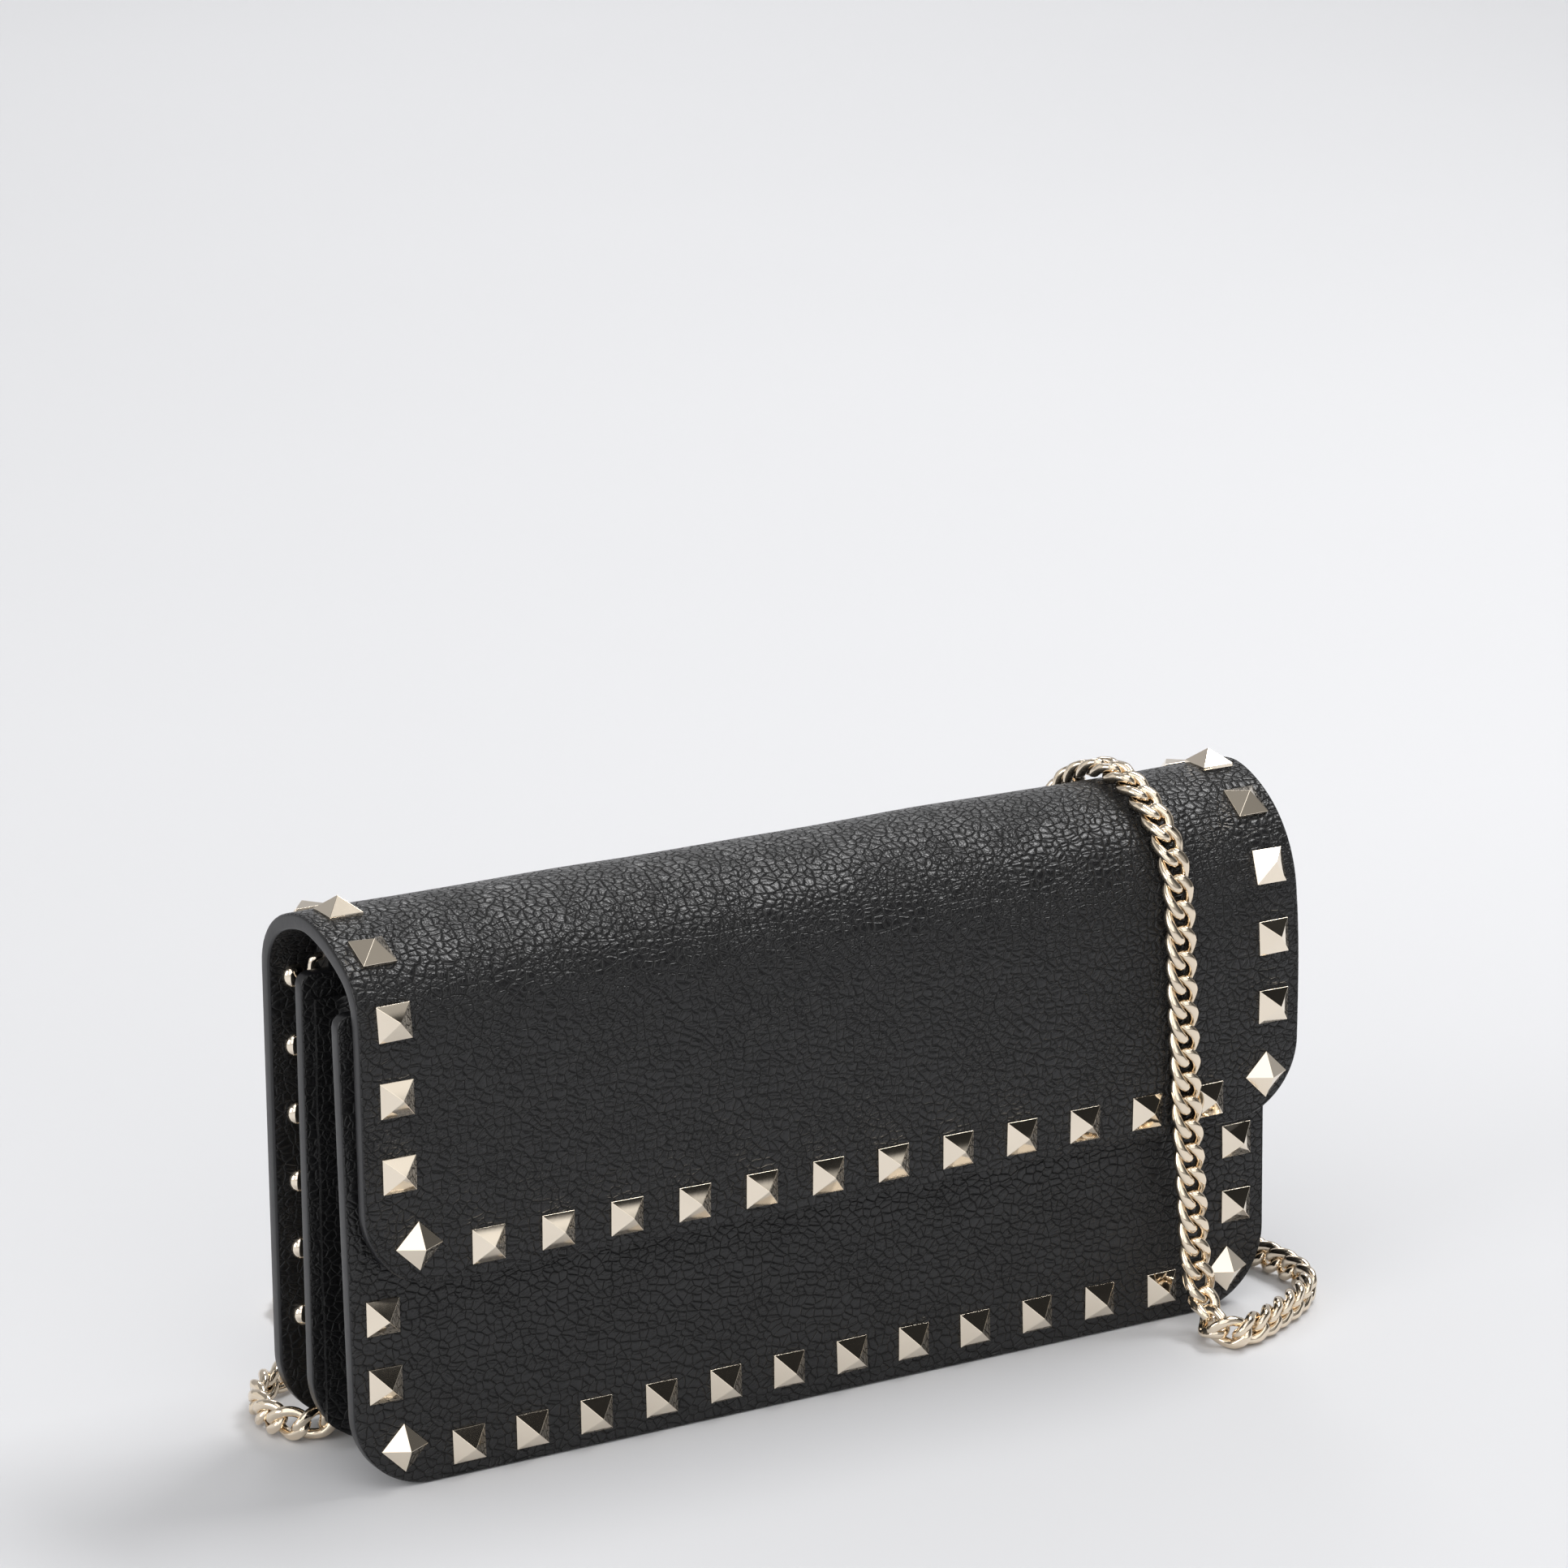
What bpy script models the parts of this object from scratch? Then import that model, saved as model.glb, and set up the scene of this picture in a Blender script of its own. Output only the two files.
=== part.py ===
"""Chain wallet: a studded leather flap wallet with two gusseted compartments,
a zipped pocket, card slots and a detachable curb-chain strap.

Metres, +Z up, front towards -Y. Sizes below are in millimetres and are scaled
once, when a mesh is made. Everything hangs from the empty "wallet_origin",
which puts the middle of the wallet's base at the world origin.
"""

import math

import bmesh
import bpy
from mathutils import Matrix, Vector

MM = 0.001

# ---- driving dimensions (mm) ------------------------------------------------
FRONT_X = (-100.2, 100.2)      # front panel, left and right edges
FRONT_H = 92.0                 # front panel height along its own face
FRONT_LEAN = 2.0               # degrees the front panel leans back
WRAP_X = (-98.7, 104.8)        # back panel and flap: one width, cut together
MID_X = (-97.2, 101.4)         # divider between the two compartments
MID_Y = (21.9, 24.9)
MID_H = 93.4
BACK_Y = 38.4                  # outer face of the back panel
FOLD_Z = 92.0                  # height of the flap's fold line
PANEL_T = 3.0                  # leather + tape + lining
LEATHER_T = 1.1
TAPE_IN, TAPE_OUT = 1.3, 1.7   # depth of the reinforcing tape under the studs
LINING_IN = 1.9
CORNER_R = 15.5                # bottom corners of every panel
TOP_R = 4.0
FLAP_TIP_Z = 40.0              # lower edge of the closed flap

STUD = 6.75                    # square base of a pyramid stud
STUD_RIM = 0.45
STUD_H = 3.0
SHANK = 2.0
HOLE = 2.7
ROW_PITCH = 14.0               # lower row of the front panel
FLAP_PITCH = 14.4              # row along the flap's edge
COLUMN_PITCH = 13.0            # back panel's columns

CHAIN_D = 6.5                  # width of the curb chain
RING_WIRE = 0.8

# the base's middle: the whole wallet is shifted by this
CENTRE_X = (FRONT_X[0] + WRAP_X[1]) / 2
DEPTH = (-3.0 - STUD_H, BACK_Y + STUD_H)
CENTRE_Y = (DEPTH[0] + DEPTH[1]) / 2

# ---- scene ------------------------------------------------------------------
for old in list(bpy.data.objects):
    bpy.data.objects.remove(old, do_unlink=True)


def material(name, colour, roughness, metallic=0.0):
    made = bpy.data.materials.new(name)
    made.use_nodes = True
    shader = made.node_tree.nodes["Principled BSDF"]
    shader.inputs["Base Color"].default_value = (*colour, 1.0)
    shader.inputs["Roughness"].default_value = roughness
    shader.inputs["Metallic"].default_value = metallic
    made.diffuse_color = (*colour, 1.0)
    return made


LEATHER = material("black_leather", (0.012, 0.012, 0.013), 0.42)
LINING = material("lining_leather", (0.010, 0.010, 0.011), 0.5)
BOARD = material("board", (0.16, 0.13, 0.10), 0.9)
FABRIC = material("pocket_fabric", (0.02, 0.02, 0.022), 0.85)
GOLD = material("pale_gold", (0.78, 0.68, 0.52), 0.18, 1.0)
ZIP_TAPE = material("zip_tape", (0.015, 0.015, 0.017), 0.8)

root = bpy.data.objects.new("wallet_origin", None)
bpy.context.scene.collection.objects.link(root)
root.location = (-CENTRE_X * MM, -CENTRE_Y * MM, 0)


def empty(name, y, z, lean=0.0):
    """A joint's empty: its X axis is the hinge line."""
    made = bpy.data.objects.new(name, None)
    bpy.context.scene.collection.objects.link(made)
    made.parent = root
    made.location = (0, y * MM, z * MM)
    made.rotation_euler = (math.radians(lean), 0, 0)
    return made


def finish(name, bm, mat, parent=root, smooth=False, helper=False, weld=True):
    if weld:
        bmesh.ops.remove_doubles(bm, verts=bm.verts, dist=1e-4)
    bmesh.ops.recalc_face_normals(bm, faces=bm.faces)
    bmesh.ops.scale(bm, vec=(MM, MM, MM), verts=bm.verts)
    mesh = bpy.data.meshes.new(name)
    bm.to_mesh(mesh)
    bm.free()
    if smooth:
        mesh.shade_smooth()
        mesh.set_sharp_from_angle(angle=math.radians(40))
    obj = bpy.data.objects.new(name, mesh)
    bpy.context.scene.collection.objects.link(obj)
    obj.parent = parent
    if mat:
        mesh.materials.append(mat)
    if helper:
        obj.hide_render = True
        obj.display_type = "WIRE"
    return obj


def boolean(obj, other, kind="DIFFERENCE"):
    cut = obj.modifiers.new(kind.lower() + "_" + other.name, "BOOLEAN")
    cut.operation = kind
    cut.object = other
    cut.solver = "EXACT"
    return obj


def skin(bm, rings, capped=True, closed=False):
    """Bridges rings of equal length; caps the two ends, or joins them."""
    made = [[bm.verts.new(p) for p in ring] for ring in rings]
    count = len(made[0])
    pairs = list(zip(made, made[1:])) + ([(made[-1], made[0])] if closed else [])
    for a, b in pairs:
        for i in range(count):
            j = (i + 1) % count
            bm.faces.new((a[i], a[j], b[j], b[i]))
    if capped and not closed:
        bm.faces.new(made[0])
        bm.faces.new(list(reversed(made[-1])))


def box(bm, x0, x1, y0, y1, z0, z1, place=None):
    place = place or (lambda x, y, z: (x, y, z))
    skin(
        bm,
        [
            [place(x, y, z) for x, y in ((x0, y0), (x1, y0), (x1, y1), (x0, y1))]
            for z in (z0, z1)
        ],
    )


def outline(x0, x1, z0, z1, low_r, top_r, steps=7):
    """Corner points of a rounded rectangle in X and Z, counter-clockwise."""
    points = []
    for cx, cz, r, start in (
        (x0 + low_r, z0 + low_r, low_r, 180),
        (x1 - low_r, z0 + low_r, low_r, 270),
        (x1 - top_r, z1 - top_r, top_r, 0),
        (x0 + top_r, z1 - top_r, top_r, 90),
    ):
        if r <= 0:
            points.append((cx, cz))
            continue
        count = steps if r > 6 else 3
        for i in range(count + 1):
            a = math.radians(start + 90 * i / count)
            points.append((cx + r * math.cos(a), cz + r * math.sin(a)))
    return points


def panel(name, x, y, z, mat, parent=root, low_r=CORNER_R, top_r=TOP_R):
    bm = bmesh.new()
    shape = outline(x[0], x[1], z[0], z[1], low_r, top_r)
    skin(bm, [[(px, yy, pz) for px, pz in shape] for yy in y])
    return finish(name, bm, mat, parent)


# ---- the flap's profile -----------------------------------------------------
# Outer surface of the closed flap in (y, z), from the fold up over the top and
# down the front, as knots of one smooth curve.
ARCH = [
    (38.4, FOLD_Z), (38.4, 93.0), (37.4, 96.9), (33.7, 101.3), (27.9, 104.5),
    (21.0, 106.0), (14.2, 105.2), (7.4, 102.3), (2.0, 98.0), (-0.9, 92.4),
    (-2.0, 85.5), (-2.4, 76.0), (-2.8, 60.0), (-3.0, FLAP_TIP_Z),
]


def smooth_curve(knots, per_span):
    """Centripetal Catmull-Rom through the knots."""
    pts = [Vector(k) for k in knots]
    pts = [2 * pts[0] - pts[1]] + pts + [2 * pts[-1] - pts[-2]]
    out = []
    for p0, p1, p2, p3 in zip(pts, pts[1:], pts[2:], pts[3:]):
        t0 = 0.0
        t1 = t0 + max((p1 - p0).length, 1e-6) ** 0.5
        t2 = t1 + max((p2 - p1).length, 1e-6) ** 0.5
        t3 = t2 + max((p3 - p2).length, 1e-6) ** 0.5
        for i in range(per_span):
            t = t1 + (t2 - t1) * i / per_span
            a1 = (t1 - t) / (t1 - t0) * p0 + (t - t0) / (t1 - t0) * p1
            a2 = (t2 - t) / (t2 - t1) * p1 + (t - t1) / (t2 - t1) * p2
            a3 = (t3 - t) / (t3 - t2) * p2 + (t - t2) / (t3 - t2) * p3
            b1 = (t2 - t) / (t2 - t0) * a1 + (t - t0) / (t2 - t0) * a2
            b2 = (t3 - t) / (t3 - t1) * a2 + (t - t1) / (t3 - t1) * a3
            out.append((t2 - t) / (t2 - t1) * b1 + (t - t1) / (t2 - t1) * b2)
    out.append(pts[-2])
    return out


class Profile:
    """The flap's outer curve by length along it, with its outward normal."""

    def __init__(self, knots):
        self.points = smooth_curve(knots, 16)
        self.at = [0.0]
        for a, b in zip(self.points, self.points[1:]):
            self.at.append(self.at[-1] + (b - a).length)
        self.length = self.at[-1]

    def point(self, s):
        s = min(max(s, 0.0), self.length)
        i = 0
        while i < len(self.at) - 2 and self.at[i + 1] < s:
            i += 1
        f = (s - self.at[i]) / (self.at[i + 1] - self.at[i])
        return self.points[i].lerp(self.points[i + 1], f)

    def normal(self, s):
        a, b = self.point(s - 0.6), self.point(s + 0.6)
        d = (b - a).normalized()
        return Vector((d.y, -d.x))  # to the right of travel: away from the inside

    def place(self, s, depth):
        p = self.point(s) - self.normal(s) * depth
        return p.x, p.y

    def length_at(self, z, front=True):
        """The length along the curve where its front (or back) passes height z."""
        found = [
            self.at[i]
            for i, p in enumerate(self.points)
            if (p.y <= z if front else p.y >= z)
            and (self.at[i] > self.length * 0.4 if front else True)
        ]
        return found[0]


arch = Profile(ARCH)
# the outward normal at the fold must point back, away from the wallet
if arch.normal(1.0).x < 0:
    Profile.normal = lambda self, s, old=Profile.normal: -old(self, s)

flap_hinge = empty("flap_hinge", BACK_Y + 0.1, FOLD_Z)
front_hinge = empty("front_panel_hinge", 0.0, 0.0, -FRONT_LEAN)


def on_flap(bm_points):
    """Moves flap points into the hinge empty's frame."""
    return [(x, y - (BACK_Y + 0.1), z - FOLD_Z) for x, y, z in bm_points]


def flap_stations(s0, s1, fine=3.4):
    """Lengths along the flap: close where it curves, wide where it is flat."""
    out, s = [s0], s0
    while s < s1 - 0.5:
        straight = abs((arch.normal(s + 3) - arch.normal(s)).length) < 0.05
        s = min(s + (9.0 if straight else fine), s1)
        out.append(s)
    if out[-1] - out[-2] < 1.0:
        out.pop(-2)
    return out


def flap_sheet(name, x0, x1, d0, d1, s0, s1, mat, corner=CORNER_R, inset=0.0):
    """A layer of the flap: a strip of the profile with two round corners."""
    stations = [s for s in flap_stations(s0, s1) if s < s1 - corner - 0.5]
    stations.append(s1 - corner)
    steps = 7
    for i in range(1, steps + 1):
        a = math.radians(90 * i / steps)
        stations.append(s1 - corner + corner * math.sin(a))
    bm = bmesh.new()
    rings = []
    for k, s in enumerate(stations):
        over = max(0.0, s - (s1 - corner))
        pull = corner - math.sqrt(max(corner * corner - over * over, 0.0))
        a, b = x0 + pull, x1 - pull
        (yo, zo), (yi, zi) = arch.place(s, d0), arch.place(s, d1)
        rings.append(on_flap([(a, yo, zo), (b, yo, zo), (b, yi, zi), (a, yi, zi)]))
    skin(bm, rings)
    return finish(name, bm, mat, flap_hinge, smooth=True)


# ---- studs ------------------------------------------------------------------
def square(size, turned=False):
    h = size / 2
    if turned:
        h = size / math.sqrt(2)
        return [(h, 0), (0, h), (-h, 0), (0, -h)]
    return [(h, -h), (h, h), (-h, h), (-h, -h)]


def add_stud(bm, place, turned=False, inner=None):
    """One pyramid stud. place(u, v, d) takes a spot on the face and a depth
    below it. inner is the depth of the panel's inner face, for a domed cap."""
    rings = []
    if inner is None:
        rings.append([(u, v, 1.5) for u, v in square(SHANK)])
    else:
        for r, d in ((0.6, inner + 2.0), (1.5, inner + 1.5), (2.1, inner + 0.45), (2.1, inner + 0.15)):
            rings.append(
                [
                    (r * math.cos(math.radians(45 * i - 22.5)), r * math.sin(math.radians(45 * i - 22.5)), d)
                    for i in range(8)
                ]
            )
        oct_ = [(SHANK / 2 * x, SHANK / 2 * y) for x, y in (
            (1, -0.4), (1, 0.4), (0.4, 1), (-0.4, 1), (-1, 0.4), (-1, -0.4), (-0.4, -1), (0.4, -1))]
        rings.append([(u, v, inner + 0.15) for u, v in oct_])
        rings.append([(u, v, -0.2) for u, v in oct_])
    if inner is None:
        rings.append([(u, v, -0.2) for u, v in square(SHANK)])
        heads = square(STUD, turned)
        if turned:
            # the shank's corners line up with the head's
            rings = [[(u, v, d) for (u, v), d in zip(square(SHANK, True), [ring[0][2]] * 4)] for ring in rings]
        for d in (-0.2, -0.2 - STUD_RIM):
            rings.append([(u, v, d) for u, v in heads])
        tip = 0.12
        rings.append([(u * tip / STUD, v * tip / STUD, -STUD_H) for u, v in heads])
    else:
        h = STUD / 2
        heads = [(h, -h), (h, h), (h, h), (-h, h), (-h, h), (-h, -h), (-h, -h), (h, -h)]
        heads = [(h, -h * 0.98), (h, h * 0.98), (h * 0.98, h), (-h * 0.98, h), (-h, h * 0.98), (-h, -h * 0.98), (-h * 0.98, -h), (h * 0.98, -h)]
        for d in (-0.2, -0.2 - STUD_RIM):
            rings.append([(u, v, d) for u, v in heads])
        rings.append([(u * 0.02, v * 0.02, -STUD_H) for u, v in heads])
    skin(bm, [[place(*p) for p in ring] for ring in rings])


def add_hole(bm, place, through, turned=False, size=HOLE):
    rings = [[(u, v, d) for u, v in square(size, turned)] for d in (through, -1.0)]
    skin(bm, [[place(*p) for p in ring] for ring in rings])


def flat_spot(x, z, face, sign):
    """A spot on a flat panel whose outer face is the plane y = face. sign is
    -1 for a face that looks to -Y and 1 for one that looks to +Y."""
    return lambda u, v, d: (x + u, face - sign * d, z + v)


def curved_spot(x, s):
    """A spot on the flap: its studs stand square to the curve."""
    p, n = arch.point(s), arch.normal(s)
    t = (arch.point(s + 0.6) - arch.point(s - 0.6)).normalized()

    def place(u, v, d):
        q = p - n * d - t * v
        return x + u, q.x - (BACK_Y + 0.1), q.y - FOLD_Z

    return place


def stud_group(name, spots, tape, outer, lining, parent, inner=None):
    """A row of studs on one reinforcing tape, and their holes in the layers.
    spots is a list of (place, turned)."""
    heads = bmesh.new()
    for place, turned in spots:
        add_stud(heads, place, turned, inner)
    heads = finish(name + "_heads", heads, GOLD, parent, helper=True)
    obj = finish(name, tape, GOLD, parent)
    boolean(obj, heads, "UNION")
    holes = bmesh.new()
    for place, turned in spots:
        add_hole(holes, place, TAPE_IN - 0.05, turned)
    boolean(outer, finish(name + "_holes", holes, None, parent, helper=True))
    if inner is not None:
        holes = bmesh.new()
        for place, turned in spots:
            skin(
                holes,
                [[place(u, v, d) for u, v in square(HOLE)] for d in (inner + 0.6, TAPE_OUT + 0.05)],
            )
        boolean(lining, finish(name + "_lining_holes", holes, None, parent, helper=True))
    return obj


def flat_tape(x0, x1, z0, z1, face, sign):
    bm = bmesh.new()
    ys = sorted((face - sign * TAPE_IN, face - sign * TAPE_OUT))
    box(bm, x0, x1, ys[0], ys[1], z0, z1)
    return bm


def row(count, pitch, middle):
    return [middle + (i - (count - 1) / 2) * pitch for i in range(count)]


# ---- front panel ------------------------------------------------------------
front_leather = panel("front_panel_leather", FRONT_X, (0.0, LEATHER_T), (0.0, FRONT_H), LEATHER, front_hinge)
front_lining = panel("front_panel_lining", FRONT_X, (LINING_IN, PANEL_T), (0.3, FRONT_H), LINING, front_hinge)
panel("front_panel_board", (-84.0, 84.0), (TAPE_IN, TAPE_OUT), (14.0, FRONT_H - 6), BOARD, front_hinge, 3.0, 3.0)

spots = [(flat_spot(x, 7.0, 0.0, -1), False) for x in row(12, ROW_PITCH, 0.0)]
spots += [(flat_spot(x, 7.9, 0.0, -1), True) for x in (-90.4, 91.4)]
stud_group("front_row_studs", spots, flat_tape(-93.0, 94.0, 4.6, 10.2, 0.0, -1), front_leather, None, front_hinge)
for side, x in (("left", -93.6), ("right", 94.0)):
    spots = [(flat_spot(x, z, 0.0, -1), False) for z in (20.9, 34.5)]
    stud_group(f"front_{side}_studs", spots, flat_tape(x - 2.4, x + 2.4, 17.5, 38.0, 0.0, -1), front_leather, None, front_hinge)


def disc(name, radius, y0, y1, x, z, mat, parent, sides=20, dish=0.0):
    bm = bmesh.new()
    rings = []
    for r, y in ((radius, y0), (radius, y1)):
        rings.append([(x + r * math.cos(2 * math.pi * i / sides), y, z + r * math.sin(2 * math.pi * i / sides)) for i in range(sides)])
    skin(bm, rings)
    return finish(name, bm, mat, parent, smooth=True)


# the snap's two halves face each other under the flap
SNAP_X, SNAP_Z = 3.0, 56.0
disc("snap_socket", 6.5, -0.9, -0.25, SNAP_X, SNAP_Z, GOLD, front_hinge)

# ---- back panel -------------------------------------------------------------
back_leather = panel("back_panel_leather", WRAP_X, (BACK_Y - LEATHER_T, BACK_Y), (0.0, FOLD_Z - 0.15), LEATHER, top_r=0)
back_lining = panel("back_panel_lining", WRAP_X, (BACK_Y - PANEL_T, BACK_Y - LINING_IN), (0.3, FOLD_Z - 0.15), LINING, top_r=0)

spots = [(flat_spot(x, 7.0, BACK_Y, 1), False) for x in row(12, 14.2, sum(WRAP_X) / 2)]
spots += [(flat_spot(x, 7.9, BACK_Y, 1), True) for x in (WRAP_X[0] + 9.6, WRAP_X[1] - 9.6)]
stud_group("back_row_studs", spots, flat_tape(WRAP_X[0] + 7, WRAP_X[1] - 7, 4.6, 10.2, BACK_Y, 1), back_leather, None, root)
back_columns = [22.5 + COLUMN_PITCH * i for i in range(6)]
for side, x in (("left", WRAP_X[0] + 5.6), ("right", WRAP_X[1] - 5.6)):
    spots = [(flat_spot(x, z, BACK_Y, 1), False) for z in back_columns]
    stud_group(
        f"back_{side}_studs", spots, flat_tape(x - 2.4, x + 2.4, 19.0, 91.0, BACK_Y, 1),
        back_leather, back_lining, root, inner=PANEL_T,
    )

# zipped pocket in the back panel's lining
ZIP_X, ZIP_Z = (-66.0, 72.0), 68.0
window = bmesh.new()
box(window, ZIP_X[0] - 3, ZIP_X[1] + 3, BACK_Y - PANEL_T - 1, BACK_Y - LINING_IN + 1, ZIP_Z - 4.2, ZIP_Z + 4.2)
boolean(back_lining, finish("zip_window", window, None, helper=True))
panel("zip_pocket_bag", (ZIP_X[0] - 6, ZIP_X[1] + 6), (BACK_Y - TAPE_OUT, BACK_Y - TAPE_IN), (16.0, ZIP_Z + 9), FABRIC, low_r=6.0, top_r=2.0)
ZIP_FACE = BACK_Y - PANEL_T + 0.1
for name, z0, z1 in (("zip_tape_upper", ZIP_Z + 0.9, ZIP_Z + 3.9), ("zip_tape_lower", ZIP_Z - 3.9, ZIP_Z - 0.9)):
    bm = bmesh.new()
    box(bm, ZIP_X[0] - 2.6, ZIP_X[1] + 2.6, ZIP_FACE + 0.25, ZIP_FACE + 0.75, z0, z1)
    finish(name, bm, ZIP_TAPE)
TEETH = 46
for name, side in (("zip_teeth_upper", 1), ("zip_teeth_lower", -1)):
    # one comb: a rib along the tape's edge with a tooth every 3 mm
    bm = bmesh.new()
    step = (ZIP_X[1] - ZIP_X[0]) / TEETH
    top = []
    for i in range(TEETH):
        x = ZIP_X[0] + step * (i + (0.5 if side > 0 else 0.0))
        top += [(x + 0.1, 0.35), (x + 0.1, 0.05), (x + step * 0.42, 0.05), (x + step * 0.42, 0.35)]
    shape = [(top[0][0], 0.7)] + top + [(top[-1][0], 0.7)]
    shape = [(x, ZIP_Z + side * (dz + 0.05)) for x, dz in shape]
    skin(bm, [[(x, y, z) for x, z in shape] for y in (ZIP_FACE - 0.35, ZIP_FACE + 0.75)])
    finish(name, bm, GOLD)
for name, x in (("zip_stop_closed", ZIP_X[0] - 1.6), ("zip_stop_open", ZIP_X[1] + 1.4)):
    bm = bmesh.new()
    box(bm, x - 0.7, x + 0.7, ZIP_FACE - 0.9, ZIP_FACE, ZIP_Z - 2.2, ZIP_Z + 2.2)
    finish(name, bm, GOLD)

SLIDER_X = ZIP_X[0] + 4.5
bm = bmesh.new()
skin(
    bm,
    [
        [(SLIDER_X + a * w, y, ZIP_Z + b * h) for a, b in ((-1, -0.55), (-0.4, -1), (0.7, -0.8), (1, -0.3), (1, 0.3), (0.7, 0.8), (-0.4, 1), (-1, 0.55))]
        for w, h, y in ((4.0, 2.6, ZIP_FACE - 0.7), (4.0, 2.6, ZIP_FACE - 1.5), (3.3, 1.9, ZIP_FACE - 1.9))
    ],
)
slider = finish("zip_slider", bm, GOLD)
bm = bmesh.new()
box(bm, SLIDER_X - 1.2, SLIDER_X - 0.2, ZIP_FACE - 3.6, ZIP_FACE - 1.6, ZIP_Z - 1.3, ZIP_Z - 0.6)
box(bm, SLIDER_X - 1.2, SLIDER_X - 0.2, ZIP_FACE - 3.6, ZIP_FACE - 1.6, ZIP_Z + 0.6, ZIP_Z + 1.3)
box(bm, SLIDER_X - 1.2, SLIDER_X - 0.2, ZIP_FACE - 3.6, ZIP_FACE - 3.0, ZIP_Z - 1.3, ZIP_Z + 1.3)
bridge = finish("zip_bridge", bm, GOLD, helper=True, weld=False)
boolean(slider, bridge, "UNION")
boolean_self = slider.modifiers[-1]
boolean_self.use_self = True


# ---- tubes ------------------------------------------------------------------
def frames(points, closed=False):
    """Tangents and a normal carried along the path without twisting."""
    n = len(points)
    tangents = []
    for i in range(n):
        a = points[(i - 1) % n] if closed or i > 0 else points[0]
        b = points[(i + 1) % n] if closed or i < n - 1 else points[-1]
        tangents.append((b - a).normalized())
    helper = Vector((0, 0, 1)) if abs(tangents[0].z) < 0.9 else Vector((0, 1, 0))
    normal = tangents[0].cross(helper).normalized()
    out = []
    for t in tangents:
        normal = (normal - t * normal.dot(t)).normalized()
        out.append((t, normal, t.cross(normal)))
    return out


def tube(bm, points, radius, sides=8, closed=False):
    points = [Vector(p) for p in points]
    rings = []
    for p, (t, n, b) in zip(points, frames(points, closed)):
        rings.append([p + (n * math.cos(2 * math.pi * (k + 0.5) / sides) + b * math.sin(2 * math.pi * (k + 0.5) / sides)) * radius for k in range(sides)])
    skin(bm, rings, closed=closed)


# the pull hangs from the slider's bridge
PULL = (SLIDER_X - 0.7, ZIP_FACE - 2.45, ZIP_Z)
pull_hinge = empty("zip_pull_hinge", PULL[1], PULL[2] + 0.0)
bm = bmesh.new()
loop = [
    (PULL[0] + 2.0 * math.cos(a) * (1.0 if math.sin(a) > -0.2 else 1.0), 0, -1.9 + 1.9 * math.sin(a))
    for a in [2 * math.pi * (i + 0.5) / 12 for i in range(12)]
]
tube(bm, loop, 0.38, 6, closed=True)
ring_part = finish("zip_pull_ring", bm, GOLD, pull_hinge, helper=True)
bm = bmesh.new()
skin(
    bm,
    [
        [(PULL[0] + x, y, z) for x, z in ((-0.9, -3.5), (0.9, -3.5), (1.7, -6), (1.9, -13.5), (1.0, -15), (-1.0, -15), (-1.9, -13.5), (-1.7, -6))]
        for y in (-0.4, 0.4)
    ],
)
pull = finish("zip_pull", bm, GOLD, pull_hinge)
boolean(pull, ring_part, "UNION")

# ---- divider between the compartments --------------------------------------
panel("divider_front_leather", MID_X, (MID_Y[0], MID_Y[0] + 1.1), (0.0, MID_H), LEATHER)
panel("divider_board", (MID_X[0] + 4, MID_X[1] - 4), (MID_Y[0] + 1.3, MID_Y[0] + 1.7), (4.0, MID_H - 3), BOARD, low_r=12.0)
panel("divider_rear_leather", MID_X, (MID_Y[0] + 1.9, MID_Y[1]), (0.3, MID_H), LEATHER)

# ---- accordion gussets ------------------------------------------------------
def strip(name, path, thick, z0, z1, mat, lean=None):
    """A folded strip of leather seen in plan: path in (x, y), stood up in Z."""
    pts = [Vector(p) for p in path]
    left, right = [], []
    for i, p in enumerate(pts):
        a = (p - pts[i - 1]).normalized() if i else (pts[1] - p).normalized()
        b = (pts[i + 1] - p).normalized() if i < len(pts) - 1 else a
        m = (a + b).normalized()
        n = Vector((-m.y, m.x)) / max(m.dot(a), 0.5) * thick / 2
        left.append(p + n)
        right.append(p - n)
    shape = left + right[::-1]
    bm = bmesh.new()
    rings = []
    for z in (z0, z1):
        ring = []
        for x, y in shape:
            # the side glued to the front panel follows its lean
            shift = 0.0
            if lean:
                near, far = lean
                f = min(max((far - y) / (far - near), 0.0), 1.0)
                shift = f * z * math.tan(math.radians(FRONT_LEAN))
            ring.append((x, y + shift, z))
        rings.append(ring)
    skin(bm, rings)
    return finish(name, bm, mat)


G = 0.9      # gusset leather
front_back = PANEL_T + 0.25           # clear of the front panel's lining
y0, y1 = front_back + G / 2 + 0.05, MID_Y[0] - 0.25 - G / 2
for side, edge, mirror in (("left", FRONT_X[0], 1), ("right", FRONT_X[1], -1)):
    e = edge + mirror * 3.6
    path = [
        (e, y0), (e + mirror * 6, y0), (e + mirror * 9.5, (y0 * 3 + y1) / 4), (e + mirror * 11.5, (y0 + y1) / 2),
        (e + mirror * 9.5, (y0 + y1 * 3) / 4), (e + mirror * 6, y1), (e + mirror * 0.5, y1),
    ]
    strip(f"front_gusset_{side}", path, G, 4.2, 89.5, LEATHER, lean=(y0, y1))
y0r, y1r = MID_Y[1] + 0.25 + G / 2, BACK_Y - PANEL_T - 0.25 - G / 2
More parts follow.
